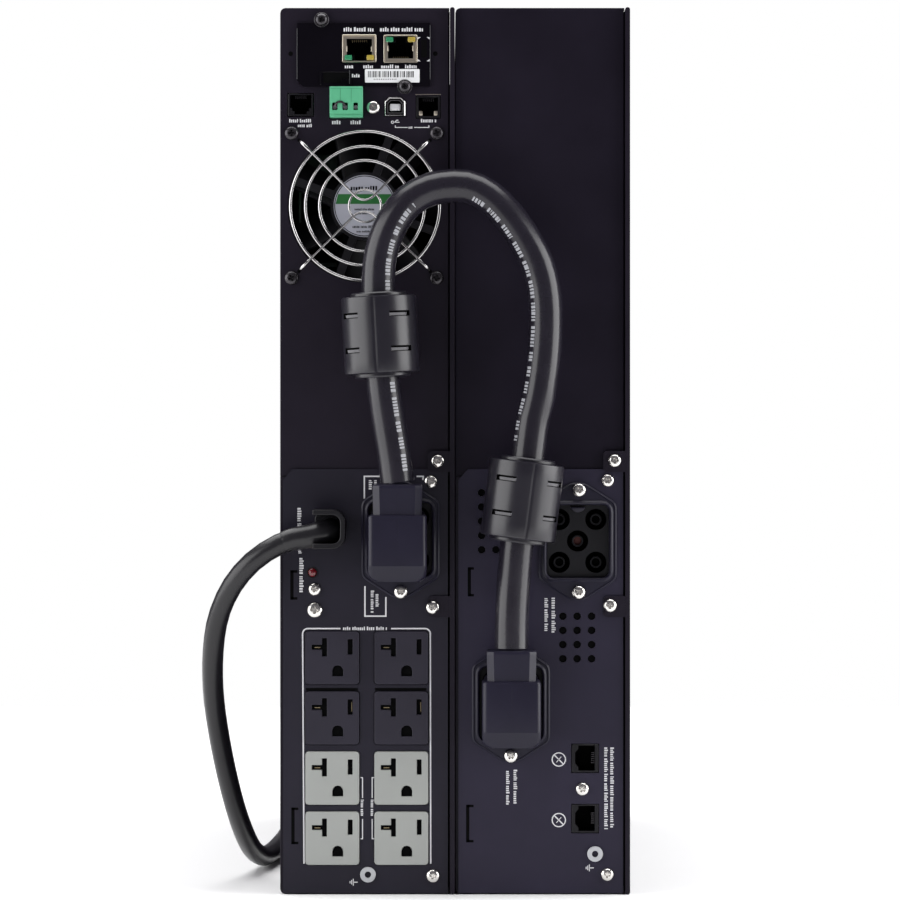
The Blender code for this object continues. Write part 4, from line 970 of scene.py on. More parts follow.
# ------------------------------------------------------------------ upper panel ports
def make_terminal():
    """Green terminal plug with wire entries, moulded lines painted in a darker green as shade, and a bare
    jumper.
    """
    low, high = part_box("terminal_plug")
    front = low.y
    work = bmesh.new()
    step = low.z + 0.0016
    outline = round_rect(low.x, step, high.x, high.z, 0.0003, 2)
    lower = round_rect(low.x, low.z, high.x, step + 0.0001, 0.0002, 2)
    levels = [(inset(outline, 0.0002), front), (outline, front + 0.0002), (outline, high.y)]
    shell = stack(work, levels, cap_start=False)
    entry_foot, entry_top = 0.3896, 0.3933
    rims = []
    for left, right in ((-0.0610, -0.0583), (-0.0559, -0.0532), (-0.0504, -0.0482)):
        entry = round_rect(left, entry_foot, right, entry_top, 0.0003, 2)
        rim = loop_at(work, entry, front)
        deep = loop_at(work, entry, front + 0.0055)
        bridge(work, rim, deep)
        work.faces.new(deep).material_index = 1
        rims.append(rim)
    fill_between(work, [shell[0]] + rims)
    pad(work, lower, front + 0.0012, high.y, 0.0002)
    # The moulded lines are drawn in the darker green: painted shade along them.
    line_top = high.z - 0.0009
    lines = [(x - 0.00012, entry_top + 0.0002, x + 0.00012) for x in (-0.0569, -0.0515)]
    lines.append((low.x + 0.0002, high.z - 0.0011, high.x - 0.0002))
    for left, foot, right in lines:
        block(work, (left, front - 0.00004, foot), (right, front + 0.0001, line_top), slot=2)
    clamp = [(0, front + 0.0022), (0.0010, front + 0.0022), (0.0010, front + 0.0040), (0, front + 0.0040)]
    for x in (-0.05965, -0.05455, -0.0493):
        turned(work, clamp, (x, 0.3912), 16, 3)
    for offset in (0.0, 0.0004):
        arch = arc(-0.0571, 0.3917, 0.0026 - offset, 0, 180, 14)
        add_tube(work, [(x, front + 0.0002 - 0.0006 * math.sin(i / 14 * math.pi), z - 0.0004)
                        for i, (x, z) in enumerate(arch)], 0.00035, 8, slot=4)
    materials = [GREEN, DARK, GREEN_SHADE, ZINC, BLACK_SCREW]
    as_piece("terminal_plug_detail", work, materials, body="terminal_plug",
             replaces=["terminal_plug"])


def make_usb():
    """Square device socket with cut upper corners, a folded rim and a white tongue.

    Two small pads in the panel's colour close the panel's square hole over the cut corners.
    """
    low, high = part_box("usb_socket")
    cut = 0.0021

    def shape(by):
        x0, z0, x1, z1 = low.x + by, low.z + by, high.x - by, high.z - by
        c = cut - by * 0.41
        return [(x0, z0), (x1, z0), (x1, z1 - c), (x1 - c, z1), (x0 + c, z1), (x0, z1 - c)]

    work = bmesh.new()
    front = low.y - 0.0002
    levels = [(shape(0.0006), front + 0.0009), (shape(0.0006), front + 0.0001), (shape(0.0004), front),
              (shape(0.0001), front + 0.0002), (shape(0), front + 0.0005), (shape(0), front + 0.0100)]
    stack(work, levels, cap_start=False)
    steps = ((0.0006, 0.0009), (0.0014, 0.0009), (0.0014, 0.0006), (0.0017, 0.0006), (0.0017, 0.0088))
    loops = [loop_at(work, shape(by), front + depth) for by, depth in steps]
    for i, (outer, inner) in enumerate(zip(loops, loops[1:])):
        bridge(work, outer, inner, 0 if i == 2 else 1)
    work.faces.new(loops[-1]).material_index = 1
    tongue = round_rect(-0.0324, 0.3898, -0.0271, 0.3932, 0.0003, 3)
    pad(work, tongue, front + 0.0016, front + 0.0088, 0.0003, 2)
    for x, turn in ((low.x, 1), (high.x, -1)):
        outside, top = x - turn * 0.0004, high.z + 0.0004
        patch(work, [(outside, top), (outside, high.z - cut), (x + turn * cut, top)], REAR, slot=3)
    as_piece("usb_socket_detail", work, [WIRE, DARK, WHITE_PLASTIC, COAT],
             replaces=["usb_socket"])


def add_small_jack(work, node, face, sideways):
    """Unshielded modular jack: thin rim, stepped mouth and springs inside."""
    low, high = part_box(node)
    front, floor, back = face - 0.0004, face + 0.0110, face + 0.0150
    left, foot, right, top = low.x + 0.0010, low.z + 0.0009, high.x - 0.0010, high.z - 0.0006
    notch, step = 0.0022, 0.0011
    if sideways:
        mouth = [
            (left + notch, foot), (right - 0.0008, foot), (right - 0.0008, top), (left + notch, top),
            (left + notch, top - 0.0016), (left + 0.0006, top - 0.0036), (left + 0.0006, foot + 0.0036),
            (left + notch, foot + 0.0016),
        ]
    else:
        edge = [(notch, foot), (notch, foot + 0.0015), (step, foot + 0.0015), (step, foot + 0.0030),
                (0, foot + 0.0030), (0, top)]
        mouth = [(right - a, z) for a, z in edge] + [(left + a, z) for a, z in reversed(edge)]
    outer = round_rect(low.x, low.z, high.x, high.z, 0.0005, 3)
    levels = [(inset(outer, 0.0002), front), (outer, front + 0.0002), (outer, back)]
    shell = stack(work, levels, cap_start=False)
    inside = stack(work, [(mouth, front), (mouth, floor)], cap_start=False, slot=1)
    fill_between(work, [shell[0], inside[0]])
    half, start = 0.00018, front + 0.0030
    for k in range(6):
        offset = (k - 2.5) * 0.0010
        x, z = (left + right) / 2 + offset, (foot + top) / 2 + offset
        if sideways:
            block(work, (right - 0.0026, start, z - half), (right - 0.0009, floor, z + half), slot=2)
        else:
            block(work, (x - half, start, top - 0.0018), (x + half, floor, top - 0.0001), slot=2)


def make_small_jacks():
    for node, face, sideways in (("battery_detect_jack", REAR, False), ("serial_jack", REAR, False),
                                 ("cabinet_jack_upper", PLATE, True), ("cabinet_jack_lower", PLATE, True)):
        work = bmesh.new()
        add_small_jack(work, node, face, sideways)
        as_piece(node + "_detail", work, [MOULDED, DARK, BLACK_SCREW], replaces=[node])
    work = bmesh.new()
    low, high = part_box("serial_jack")
    for x in (low.x + 0.0013, high.x - 0.0030):
        tab = round_rect(x, low.z + 0.0012, x + 0.0017, low.z + 0.0034, 0.0003, 2)
        pad(work, tab, REAR - 0.0006, REAR + 0.0010, 0.0002)
    ribbon(work, [(low.x - 0.0006, high.z + 0.0009), (high.x + 0.0004, high.z + 0.0009)], 0.0003, REAR)
    as_piece("serial_jack_shield", work, STAMPED)


# ------------------------------------------------------------------ fan
FAN = Vector((-0.0450, 0, 0.3424))
GUARD_RINGS = ((0.0370, 0.00078, 96), (0.0296, 0.00078, 96), (0.0226, 0.00078, 96), (0.0080, 0.0006, 48))
GUARD_SHIFT = 0.0003  # the rings sit a little right of and below the fan's axis
RING_DEPTH = 0.0052
ARM_DEPTH = 0.0064
TUCK = 0.0326  # where an arm goes into the panel, aside of and above the axis
STRAIGHT = 0.0296  # where its straight run starts


def arm_points(side, reach):
    """One bent wire: tucked end, run at 45 degrees, turn near the middle, and back out."""
    front = REAR - ARM_DEPTH
    half = [
        (-TUCK, TUCK, REAR + 0.0006), (-0.0322, 0.0322, REAR - 0.0020), (-0.0316, 0.0316, REAR - 0.0046),
        (-0.0306, 0.0306, front + 0.0004), (-STRAIGHT, STRAIGHT, front),
    ]
    steps = 26
    tangent = reach / math.sqrt(2)
    for i in range(steps):
        t = STRAIGHT + (tangent - STRAIGHT) * (i + 1) / steps
        half.append((-t, t, front))
    bend = [(a, b, front) for a, b in arc(0, reach * math.sqrt(2), reach, -135, -45, 12)[1:-1]]
    back = [(-a, b, c) for a, b, c in reversed(half)]
    return [Vector((FAN.x + a, c, FAN.z + side * b)) for a, b, c in half + bend + back]


def arm_radius(point):
    """Thin tucked ends, a thick run outside the rings and a thinner one across them."""
    out = math.hypot(point.x - FAN.x, point.z - FAN.z)
    if out > 0.0447:
        return 0.00034
    return 0.00085 if out > 0.0388 else 0.0006


def make_fan_guard():
    """Four wire rings carried by two pairs of bent arms, and dark discs that paint the shade in the arms'
    holes in the panel.
    """
    work = bmesh.new()
    for radius, wire, sides in GUARD_RINGS:
        outline = circle(FAN.x + GUARD_SHIFT, FAN.z - GUARD_SHIFT, radius, sides)
        add_tube(work, [(x, REAR - RING_DEPTH, z) for x, z in outline], wire, closed=True)
    for side, reach in ((1, 0.0063), (-1, 0.0080)):
        path = arm_points(side, reach)
        add_tube(work, path, [arm_radius(point) for point in path])
    as_piece("fan_guard_detail", work, WIRE, replaces=["fan_guard"])
    # Flat dark discs round the tucked ends: painted shade in the holes.
    tucks = bmesh.new()
    for a in (-TUCK, TUCK):
        for b in (-TUCK, TUCK):
            ring = circle(FAN.x + a, FAN.z + b, 0.0009, 20)
            stack(tucks, [(ring, REAR - 0.00008), (ring, REAR + 0.0001)])
    as_piece("guard_hole_shade", tucks, DARK)


# rows of bars: x and z from the axis, length, height, seed
HUB_LEGENDS = (
    (-0.0070, 0.0078, 0.0140, 0.0022, 51), (-0.0050, -0.0022, 0.0100, 0.0011, 52),
    (-0.0050, -0.0042, 0.0100, 0.0011, 53), (-0.0060, -0.0110, 0.0110, 0.0013, 54),
    (-0.0040, -0.0132, 0.0080, 0.0010, 55),
)


def make_hub_label():
    """Plain fan label: silver disc, dark rim, one band and rows of small bars."""
    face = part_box("fan_frame")[0].y + 0.0002
    print_face = face - 0.0001
    centre = (FAN.x, FAN.z)
    work = bmesh.new()
    disc = [(0, print_face), (0.0154, print_face), (0.0155, face + 0.0001), (0, face + 0.0001)]
    turned(work, disc, centre, 72)
    rim = [(0.0147, face - 0.00016), (0.0151, face - 0.00016), (0.0151, face), (0.0147, face)]
    turned(work, rim, centre, 72, 1, closed=True)
    band_radius, band_low, band_high = 0.0145, 0.0010, 0.0059
    reach_low = math.sqrt(band_radius**2 - band_low**2)
    reach_high = math.sqrt(band_radius**2 - band_high**2)
    band = [
        (FAN.x - reach_low, FAN.z + band_low), (FAN.x + reach_low, FAN.z + band_low),
        (FAN.x + reach_high, FAN.z + band_high), (FAN.x - reach_high, FAN.z + band_high),
    ]
    stack(work, [(band, face - 0.00018), (band, face)], slot=2)
    for x, z, length, height, seed in HUB_LEGENDS:
        add_bars(work, (FAN.x + x, FAN.z + z, length, height, seed), print_face, slot=1)
    ribbon(work, circle(FAN.x - 0.0100, FAN.z - 0.0040, 0.0013, 24), 0.0006, print_face, closed=True)
    as_piece("fan_label", work, [SILVER_LABEL, DARK, LABEL_GREEN])


# ------------------------------------------------------------------ connectors
SOCKET_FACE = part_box("ups_battery_socket")[0].y
SOCKET_CONTACTS = ((-0.0091, 0.0108), (0.0091, 0.0108), (0.0, 0.0001), (-0.0091, -0.0105), (0.0091, -0.0105))
SOCKET_SHOULDER = 0.0190
MOUTH = (0.0310, 0.0363)


def flange_outline(x, z, half, shoulder, apex, tip, bend):
    """Pointed flange with rounded corners, anticlockwise."""
    right = [(tip, -apex), (half, -shoulder), (half, shoulder), (tip, apex)]
    corners = [(-half, -shoulder), (-tip, -apex)] + right + [(-tip, apex), (-half, shoulder)]
    points = []
    count = len(corners)
    for i, corner in enumerate(corners):
        here = Vector(corner)
        before = Vector(corners[i - 1]) - here
        after = Vector(corners[(i + 1) % count]) - here
        cut = min(bend, before.length * 0.4, after.length * 0.4)
        start = here + before.normalized() * cut
        end = here + after.normalized() * cut
        for k in range(5):
            t = k / 4
            point = start * (1 - t) ** 2 + here * 2 * t * (1 - t) + end * t**2
            points.append((x + point.x, z + point.y))
    return points


def make_socket(node):
    """Battery connector: pointed flange, raised collar, keyed recess and five contact wells."""
    low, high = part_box(node)
    x, _, z = middle(node)
    half, apex = (high.x - low.x) / 2, (high.z - low.z) / 2
    face = low.y
    work = bmesh.new()
    outer = flange_outline(x, z, half, SOCKET_SHOULDER, apex, 0.0035, 0.0030)
    flange = stack(work, [
        (outer, face + 0.0024), (outer, face + 0.0016), (inset(outer, 0.0007), face + 0.0009),
        (inset(outer, 0.0010), face + 0.0009), (inset(outer, 0.0013), face + 0.0012),
    ], cap_start=False, cap_end=False)
    body = round_rect(*centred(x, z, MOUTH[0] + 0.0028, MOUTH[1] + 0.0028), 0.0034, 4)
    rear = stack(work, [(body, face + 0.0024), (body, face + 0.0180)], cap_start=False)
    fill_between(work, [flange[0], rear[0]])
    collar = round_rect(*centred(x, z, MOUTH[0] + 0.0042, MOUTH[1] + 0.0042), 0.0056, 4)
    mouth = round_rect(*centred(x, z, *MOUTH), 0.0034, 4)
    floor = face + 0.0052
    levels = [
        (collar, face + 0.0012), (collar, face + 0.0006), (inset(collar, 0.0009), face - 0.0003),
        (inset(collar, 0.0013), face - 0.0003), (inset(mouth, -0.0003), face + 0.0001),
        (mouth, face + 0.0008), (mouth, floor),
    ]
    ring = stack(work, levels, cap_start=False, cap_end=False)
    fill_between(work, [flange[-1], ring[0]])
    sleeve = [
        (0.0030, face + 0.0158), (0.0030, floor + 0.0022), (0.0027, floor + 0.0018),
        (0.0022, floor + 0.0018), (0.0020, floor + 0.0024), (0.0020, face + 0.0158),
    ]
    wells = []
    for dx, dz in SOCKET_CONTACTS:
        well = circle(x + dx, z + dz, 0.0053, 32)
        rim = stack(work, [(well, floor), (well, face + 0.0160)], cap_start=False, slot=1)
        wells.append(rim[0])
        turned(work, sleeve, (x + dx, z + dz), 28, 3)
        pin_slot = 2 if dx == 0 else 1
        turned(work, [(0, floor + 0.0050), (0.0020, floor + 0.0050)], (x + dx, z + dz), 28, pin_slot)
    # The recess floor takes the darker copy: painted shade down in the mouth.
    fill_between(work, [ring[-1]] + wells, 3)
    key = arc(x, z + MOUTH[1] / 2, 0.0038, 200, 340, 14)
    pad(work, key, face + 0.0008, floor + 0.0010, 0.0003)
    materials = [PLUG, DARK, COPPER, RECESS_SHADE]
    as_piece(node + "_detail", work, materials, replaces=[node], angle=40)


PLUG_CORNER = 0.0045
PLUG_FOOT = 0.0079  # height of a plug's sloped foot


def plan(x, front, back, width, corner, steps=5):
    """Rounded rectangle seen from above."""
    return round_rect(x - width / 2, front, x + width / 2, back, corner, steps)


def loft_z(work, levels):
    """Skin plan sections (outline of x, y) at rising heights."""
    loops = [[work.verts.new((px, py, z)) for px, py in outline] for outline, z in levels]
    for lower, upper in zip(loops, loops[1:]):
        bridge(work, lower, upper)
    work.faces.new(list(reversed(loops[0])))
    work.faces.new(loops[-1])


def make_battery_plug(node):
    """Moulded angled plug: body with a sloped foot, chamfered neck, and a nose in the socket."""
    low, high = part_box(node)
    x, width = middle(node).x, high.x - low.x
    front, back = low.y, SOCKET_FACE - 0.0003
    foot, shoulder = low.z, low.z + 0.0330
    work = bmesh.new()
    levels = []
    for rise in (0, 0.0003, 0.0009, 0.0020, 0.0032, 0.0045, 0.0079, 0.0083):
        narrow = PLUG_CORNER - math.sqrt(max(0.0, PLUG_CORNER**2 - max(0.0, PLUG_CORNER - rise) ** 2))
        slope = max(0.0, 1 - rise / PLUG_FOOT) * 0.0058
        levels.append((plan(x, front + slope, back, width - 2 * narrow, 0.0026), foot + rise))
    levels.append((plan(x, front, back, width, 0.0026), shoulder - 0.0014))
    levels.append((plan(x, front + 0.0003, back, width - 0.0006, 0.0026), shoulder - 0.0005))
    levels.append((plan(x, front + 0.0014, back, width - 0.0026, 0.0022), shoulder))
    loft_z(work, levels)
    nose = round_rect(*centred(x, foot + 0.0198, width - 0.0020, 0.0302), 0.0022, 4)
    stack(work, [(nose, back - 0.0002), (nose, back + 0.0050)])
    # The neck narrows upwards and rolls in round the cable.
    neck_foot, neck_top = shoulder - 0.0008, high.z
    neck_front, neck_back = front + 0.0022, back - 0.0022
    steps = [(0.0236, 0, neck_foot), (0.0237, 0, neck_foot + 0.0010), (0.0243, 0, neck_top - 0.0022),
             (0.0244, 0, neck_top - 0.0016), (0.0242, 0.0003, neck_top - 0.0006), (0.0230, 0.0012, neck_top)]
    loft_z(work, [(plan(x, neck_front + roll, neck_back - roll, wide, 0.0033, 1), z)
                  for wide, roll, z in steps])
    seams = ((front, foot + 0.0085, shoulder - 0.0018), (neck_front, neck_foot + 0.0012, neck_top - 0.0020))
    for y, start, end in seams:
        block(work, (x - 0.00012, y - 0.00006, start), (x + 0.00012, y + 0.0008, end))
    return as_piece(node + "_detail", work, PLUG, replaces=[node], angle=28)


# ------------------------------------------------------------------ ferrites
# node, middle, lean in degrees, angle of the seam in degrees
FERRITES = (("ferrite_ups", (-0.0368, 0.2776), 3.0, -8.5), ("ferrite_cabinet", (0.0332, 0.1962), -7.4, 11.5))
FERRITE_R = 0.0185
FERRITE_HALF = 0.0190
COLLAR_R = 0.01385
LATCH_ANGLE = 0.76  # from the seam to the middle of a latch slot
LATCH_HALF = 0.0056
LATCH_ROWS = (-0.0073, 0.0098)


def ferrite_profile():
    """(radius, height) rows, close together where the latch slots are."""
    half = FERRITE_HALF
    foot = [
        (CABLE_R + 0.0002, -half - 0.0016), (0.0116, -half - 0.0020), (0.0134, -half - 0.0019),
        (COLLAR_R, -half - 0.0013), (COLLAR_R, -half - 0.0002), (0.0150, -half), (0.0176, -half),
        (0.0183, -half + 0.0004),
    ]
    heights = [-half + 0.0012, -0.0120, 0.0, 0.0040, half - 0.0012]
    for row in LATCH_ROWS:
        heights += [row + step * 0.0002 for step in range(-9, 10)]
    body = [(FERRITE_R, z) for z in sorted(heights)]
    return foot + body + [(radius, -z) for radius, z in reversed(foot)]


def latch_dip(off, z):
    """Depth and slot of the shell's surface at an angle from the seam and a height. Slot 1 is painted shade
    in the latch slits, and slot 2 is a painted highlight on the tongues.
    """
    if abs(off) * FERRITE_R < 0.0006:
        return 0.00025, 0
    across = (abs(off) - LATCH_ANGLE) * FERRITE_R
    for row in LATCH_ROWS:
        rise = z - row
        if abs(across) < LATCH_HALF and -0.0013 < rise < 0.0013:
            if rise > 0.0005 or across > LATCH_HALF - 0.0012:
                return 0.0016, 1
            if rise < -0.0009:
                return 0.0007, 1
            return 0.0003 + (0.0005 - rise) * 0.25, 2
    return 0.0, 0


def make_ferrite(node, centre, lean, seam):
    """Snap-on core: two half shells with a seam, latch slots front and back, and end collars."""
    work = bmesh.new()
    sides = 200
    loops, slots = [], []
    for radius, z in ferrite_profile():
        loop, row = [], []
        for i in range(sides):
            angle = math.tau * i / sides
            off = math.remainder(angle + math.pi / 2 - math.radians(seam), math.pi)
            dip, slot = latch_dip(off, z) if radius == FERRITE_R else (0.0, 0)
            r = radius - dip
            loop.append(work.verts.new((r * math.cos(angle), r * math.sin(angle), z)))
            row.append(slot)
        loops.append(loop)
        slots.append(row)
    for k, (lower, upper) in enumerate(zip(loops, loops[1:])):
        for i in range(sides):
            j = (i + 1) % sides
            face = work.faces.new((lower[i], lower[j], upper[j], upper[i]))
            face.material_index = max(slots[k][i], slots[k][j], slots[k + 1][i], slots[k + 1][j]) % 3
    turn = Matrix.Rotation(math.radians(-lean), 4, "Y")
    place = Matrix.Translation((centre[0], REAR + CABLE_DEPTH, centre[1]))
    bmesh.ops.transform(work, matrix=place @ turn, verts=work.verts)
    materials = [FERRITE, DARK, TONGUE_GLINT]
    return as_piece(node + "_detail", work, materials, replaces=[node], angle=30)


# ------------------------------------------------------------------ cord hood, status light, outlets
HOOD_WALL = 0.0026
RELIEF_ROUTE = (
    (-0.0606, PLATE + 0.0010, 0.1808), (-0.0608, PLATE - 0.0040, 0.1807), (-0.0622, PLATE - 0.0088, 0.1803),
    (-0.0655, REAR - 0.0127, 0.1795),
)


def make_hood():
    """Hood open to the left and the front, and the tapered relief that turns the cord inside it."""
    low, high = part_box("power_cord_hood")
    x0, x1, z0, z1 = low.x, high.x - 0.0018, low.z, high.z
    corner, back = 0.0066, PLATE - 0.0001
    inner = corner - HOOD_WALL
    outline = [(x0, z0)] + arc(x1 - corner, z0 + corner, corner, 270, 360, 8)
    outline += arc(x1 - corner, z1 - corner, corner, 0, 90, 8) + [(x0, z1), (x0, z1 - HOOD_WALL)]
    outline += list(reversed(arc(x1 - corner, z1 - corner, inner, 0, 90, 8)))
    outline += list(reversed(arc(x1 - corner, z0 + corner, inner, 270, 360, 8))) + [(x0, z0 + HOOD_WALL)]
    work = bmesh.new()
    stack(work, [(outline, low.y), (outline, back)])
    floor = round_rect(x0 + 0.0004, z0 + 0.0004, x1 - 0.0004, z1 - 0.0004, 0.0050)
    stack(work, [(floor, back - 0.0010), (floor, back)])
    hood = as_piece("power_cord_hood_detail", work, MOULDED,
                    replaces=["power_cord_hood"])
    rounded = hood.modifiers.new("edges", "BEVEL")
    rounded.width = 0.0009
    rounded.segments = 3
    rounded.limit_method = "ANGLE"
    rounded.angle_limit = math.radians(50)
    relief = bmesh.new()
    path = smooth_route(RELIEF_ROUTE + CORD_ROUTE[:2] + ((-0.0850, REAR - 0.01305, 0.1750),), 0.0009)
    count = len(path) - 1
    radii = [0.0066 - 0.0012 * max(0.0, i / count - 0.35) / 0.65 for i in range(count)] + [CORD_R + 0.00005]
    add_tube(relief, path, radii, 28)
    return hood, as_piece("cord_relief", relief, CORD)


def make_led():
    """Domed status light in a thin bush."""
    x, _, z = middle("status_led")
    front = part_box("status_led")[0].y
    work = bmesh.new()
    dome = [
        (0, front), (0.0008, front + 0.0001), (0.0015, front + 0.0004), (0.0020, front + 0.0009),
        (0.0022, front + 0.0015), (0.0022, PLATE + 0.002), (0, PLATE + 0.002),
    ]
    turned(work, dome, (x, z), 32)
    bush = [(0.0023, PLATE - 0.0003), (0.0028, PLATE - 0.0003), (0.0030, PLATE), (0.0023, PLATE)]
    turned(work, bush, (x, z), 32, 1, closed=True)
    as_piece("status_led_detail", work, [LED_RED, MOULDED], replaces=["status_led"])


# neutral, line and ground openings, from a receptacle's middle
OUTLET_HOLES = (
    ((-0.0051, 0.0008), (-0.0027, 0.0008), (-0.0027, 0.0098), (-0.0051, 0.0098),
     (-0.0051, 0.0065), (-0.0102, 0.0065), (-0.0102, 0.0041), (-0.0051, 0.0041)),
    ((0.0077, 0.00175), (0.0101, 0.00175), (0.0101, 0.00925), (0.0077, 0.00925)),
    ((0.0, -0.0091), (0.0054, -0.0091), (0.0054, -0.0064), (0.0041, -0.0041), (0.0027, -0.0037),
     (0.0013, -0.0041), (0.0, -0.0064)),
)


def make_outlet_contacts():
    """Painted shade deep in each receptacle's holes, the brass springs in them, and painted shade in the gap
    between dark rows.
    """
    depth = bmesh.new()
    brass = bmesh.new()
    for column in "ab":
        for row in range(1, 5):
            x, _, z = middle(f"outlet_{column}{row}")
            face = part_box(f"outlet_{column}{row}")[0].y
            for hole in OUTLET_HOLES:
                outline = [(x + a, z + b) for a, b in hole]
                # Dark pad a little way down each opening: painted shade.
                floor = inset(outline, 0.00004)
                stack(depth, [(floor, face + 0.0012), (floor, face + 0.0020)])
            block(brass, (x - 0.0088, face + 0.0009, z + 0.0049), (x - 0.0060, face + 0.0018, z + 0.0053))
            if row == 3:
                block(brass, (x + 0.0095, face + 0.0009, z + 0.0032), (x + 0.0098, face + 0.0018, z + 0.0078))
    # Dark strip in the gap between the dark rows: painted shade.
    for left, right in ((-0.0742, -0.0482), (-0.0398, -0.0142)):
        patch(depth, round_rect(left, 0.1013, right, 0.1026, 0), PLATE)
    as_piece("outlet_hole_shade", depth, DARK)
    as_piece("outlet_contacts", brass, BRASS)


# bracket-shaped slits: panel, and the bracket's left, foot, right and top
SLITS = (
    ("ups_power_panel", -0.0816, 0.1465, -0.0784, 0.1611),
    ("ups_power_panel", -0.0811, 0.0249, -0.0779, 0.0431),
    ("cabinet_connector_panel", 0.0066, 0.1481, 0.0094, 0.1626),
    ("cabinet_connector_panel", 0.0058, 0.0258, 0.0092, 0.0445),
)
SLIT_WIDTH = 0.0012
# vent holes: lowest row, pitch of the rows, number of rows, columns
VENTS = ((0.1171, 0.00705, 4, (0.0536, 0.0607, 0.0679)), (0.1713, 0.0071, 5, (0.0132, 0.0203, 0.0274)))
VENT_R = 0.00185


def make_slit_shadows():
    """Painted shade along the sheared edges of the bracket-shaped slits, and painted shade deep in the vent
    holes.
    """
    work = bmesh.new()
    # Dark discs deep in the vent holes: painted shade.
    for lowest, pitch, rows, columns in VENTS:
        for row in range(rows):
            for x in columns:
                disc = circle(x, lowest + row * pitch, VENT_R, 16)
                stack(work, [(disc, PLATE + 0.0006), (disc, PLATE + 0.0010)])
    # Dark strips along the slits' edges: painted shade that widens the dark of each slit.
    for node, left, foot, right, top in SLITS:
        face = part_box(node)[0].y
        for edges in ((left - 0.0003, foot, left + 0.0013, top), (left, foot, right, foot + SLIT_WIDTH),
                      (left, top - SLIT_WIDTH, right, top)):
            patch(work, round_rect(*edges, 0), face)
    as_piece("slit_shadows", work, DARK)


def make_air_filter():
    """Foam sheet behind the UPS bezel's upper half, and dark strips behind each rear panel's open seams that
    paint the shade in them.
    """
    low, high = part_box("ups_bezel")
    work = bmesh.new()
    wall, front, back = 0.0029, low.y + 0.0020, low.y + 0.0090
    block(work, (low.x + wall, front, 0.2360), (high.x - wall, back, 0.4370))
    as_piece("air_filter", work, FOAM)
    # Dark strips behind the seams: painted shade in the gaps between the housings.
    work = bmesh.new()
    front, back = REAR + 0.0014, REAR + 0.0034
    for prefix in ("ups", "cabinet"):
        low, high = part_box(prefix + "_rear_panel")
        block(work, (high.x - 0.0020, front, 0.0018), (high.x + 0.0006, back, 0.4390))
        block(work, (low.x + 0.0004, front, low.z - 0.0020), (low.x + 0.0070, back, low.z + 0.0020))
    as_piece("panel_seam_shade", work, DARK)


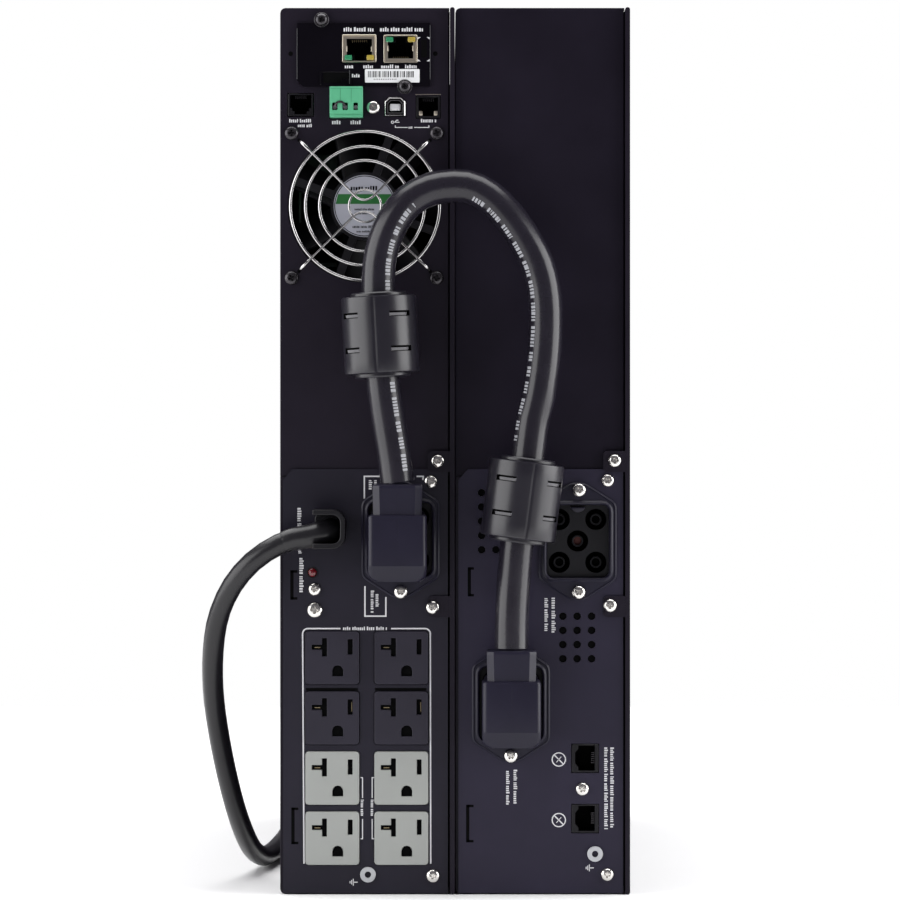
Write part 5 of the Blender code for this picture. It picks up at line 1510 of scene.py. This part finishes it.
# ------------------------------------------------------------------ mains plug and tie
def make_power_plug():
    """Moulded plug with a ribbed grip, a finger ridge, two plated blades and a round pin."""
    _, y, z = middle("power_plug")
    grip_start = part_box("power_plug")[0].x
    grip_end, body_end = grip_start + 0.022, grip_start + 0.050
    work = bmesh.new()

    def ring(x, size, corner):
        outline = round_rect(*centred(y, z, size, size), corner)
        return [work.verts.new((x, a, b)) for a, b in outline]

    loops = []
    for i in range(23):
        share = i / 22
        size = 0.0118 + 0.0030 * share + (0.0012 if i % 3 else 0.0)
        loops.append(ring(grip_start + 0.0215 * share, size, size * 0.45))
    for x, size, corner in (
        (grip_end, 0.0190, 0.0080), (grip_end + 0.0020, 0.0250, 0.0090), (grip_end + 0.0050, 0.0284, 0.0090),
        (grip_end + 0.0100, 0.0296, 0.0086), (grip_end + 0.0160, 0.0284, 0.0084),
        (grip_end + 0.0200, 0.0284, 0.0084), (body_end - 0.0016, 0.0296, 0.0080),
        (body_end - 0.0004, 0.0292, 0.0080), (body_end, 0.0284, 0.0078),
    ):
        loops.append(ring(x, size, corner))
    for lower, upper in zip(loops, loops[1:]):
        bridge(work, lower, upper)
    work.faces.new(loops[0])
    work.faces.new(loops[-1])
    plug = as_piece("power_plug_detail", work, MOULDED, replaces=["power_plug"])
    blades = bmesh.new()
    tip = body_end + 0.0180
    for dy, dz, wide, tall in ((-0.0063, 0.004, 0.0015, 0.0064), (0.0063, 0.004, 0.0064, 0.0015)):
        loops = []
        for x, shrink in ((body_end - 0.001, 0), (tip - 0.0014, 0), (tip, 0.0005)):
            edges = centred(y + dy, z + dz, wide - 2 * shrink, tall - 2 * shrink)
            loops.append([blades.verts.new((x, a, b)) for a, b in round_rect(*edges, 0)])
        for lower, upper in zip(loops, loops[1:]):
            bridge(blades, lower, upper)
        blades.faces.new(loops[0])
        blades.faces.new(loops[-1])
    pin_ends = (body_end - 0.001, tip, tip + 0.0020, tip + 0.0030)
    pin = [(x, y, z - 0.008) for x in pin_ends]
    add_tube(blades, pin, [0.0024, 0.0024, 0.0018, 0.0008], 16)
    as_piece("plug_blades", blades, NICKEL)
    return plug


def make_cord_tie():
    """Hook-and-loop strap round the coil's turns."""
    work = bmesh.new()
    outer, inner = COIL_OUTER, COIL_OUTER - 6 * CORD_R
    mid, reach, rise = (outer + inner) / 2, (outer - inner) / 2 + 0.0010, 0.0108
    half, squareness, steps = 0.0075, 0.35, 40
    loops = []
    for i in range(steps):
        angle = math.tau * i / steps
        c, s = math.cos(angle), math.sin(angle)
        y = COIL.y - mid - reach * math.copysign(abs(c) ** squareness, c)
        z = rise + (rise - 0.0002) * math.copysign(abs(s) ** squareness, s)
        loops.append([work.verts.new((COIL.x + side * half, y, z)) for side in (-1, 1)])
    for a, b in zip(loops, loops[1:] + loops[:1]):
        work.faces.new((a[0], a[1], b[1], b[0]))
    tie = as_piece("cord_tie", work, DARK)
    shell = tie.modifiers.new("thickness", "SOLIDIFY")
    shell.thickness = 0.0009
    shell.offset = 0
    return tie


def declare_cords():
    cord = make_power_cord()
    path = smooth_route([(x, REAR + CABLE_DEPTH, z) for x, z in CABLE_ROUTE], 0.006)
    points = [tuple(p) for p in path]
    cable = curve_piece("battery_cable_flex", points, CABLE_R, JACKET, ("battery_cable",))
    print_rows = make_cable_print(path)


def build():
    make_camera()
    make_stage()
    dress_frame()
    make_screws()
    make_ups_marks()
    make_cabinet_marks()
    make_jacks()
    make_card_marks()
    make_card_details()
    make_terminal()
    make_usb()
    make_small_jacks()
    make_fan_guard()
    make_hub_label()
    for node in ("ups_battery_socket", "cabinet_socket_lower", "cabinet_socket_upper"):
        make_socket(node)
    battery_plugs = [make_battery_plug(node) for node in ("battery_plug_ups", "battery_plug_cabinet")]
    ferrites = [make_ferrite(*item) for item in FERRITES]
    hood, relief = make_hood()
    make_led()
    make_outlet_contacts()
    make_slit_shadows()
    make_air_filter()
    plug = make_power_plug()
    make_cord_tie()
    declare_cords()


build()
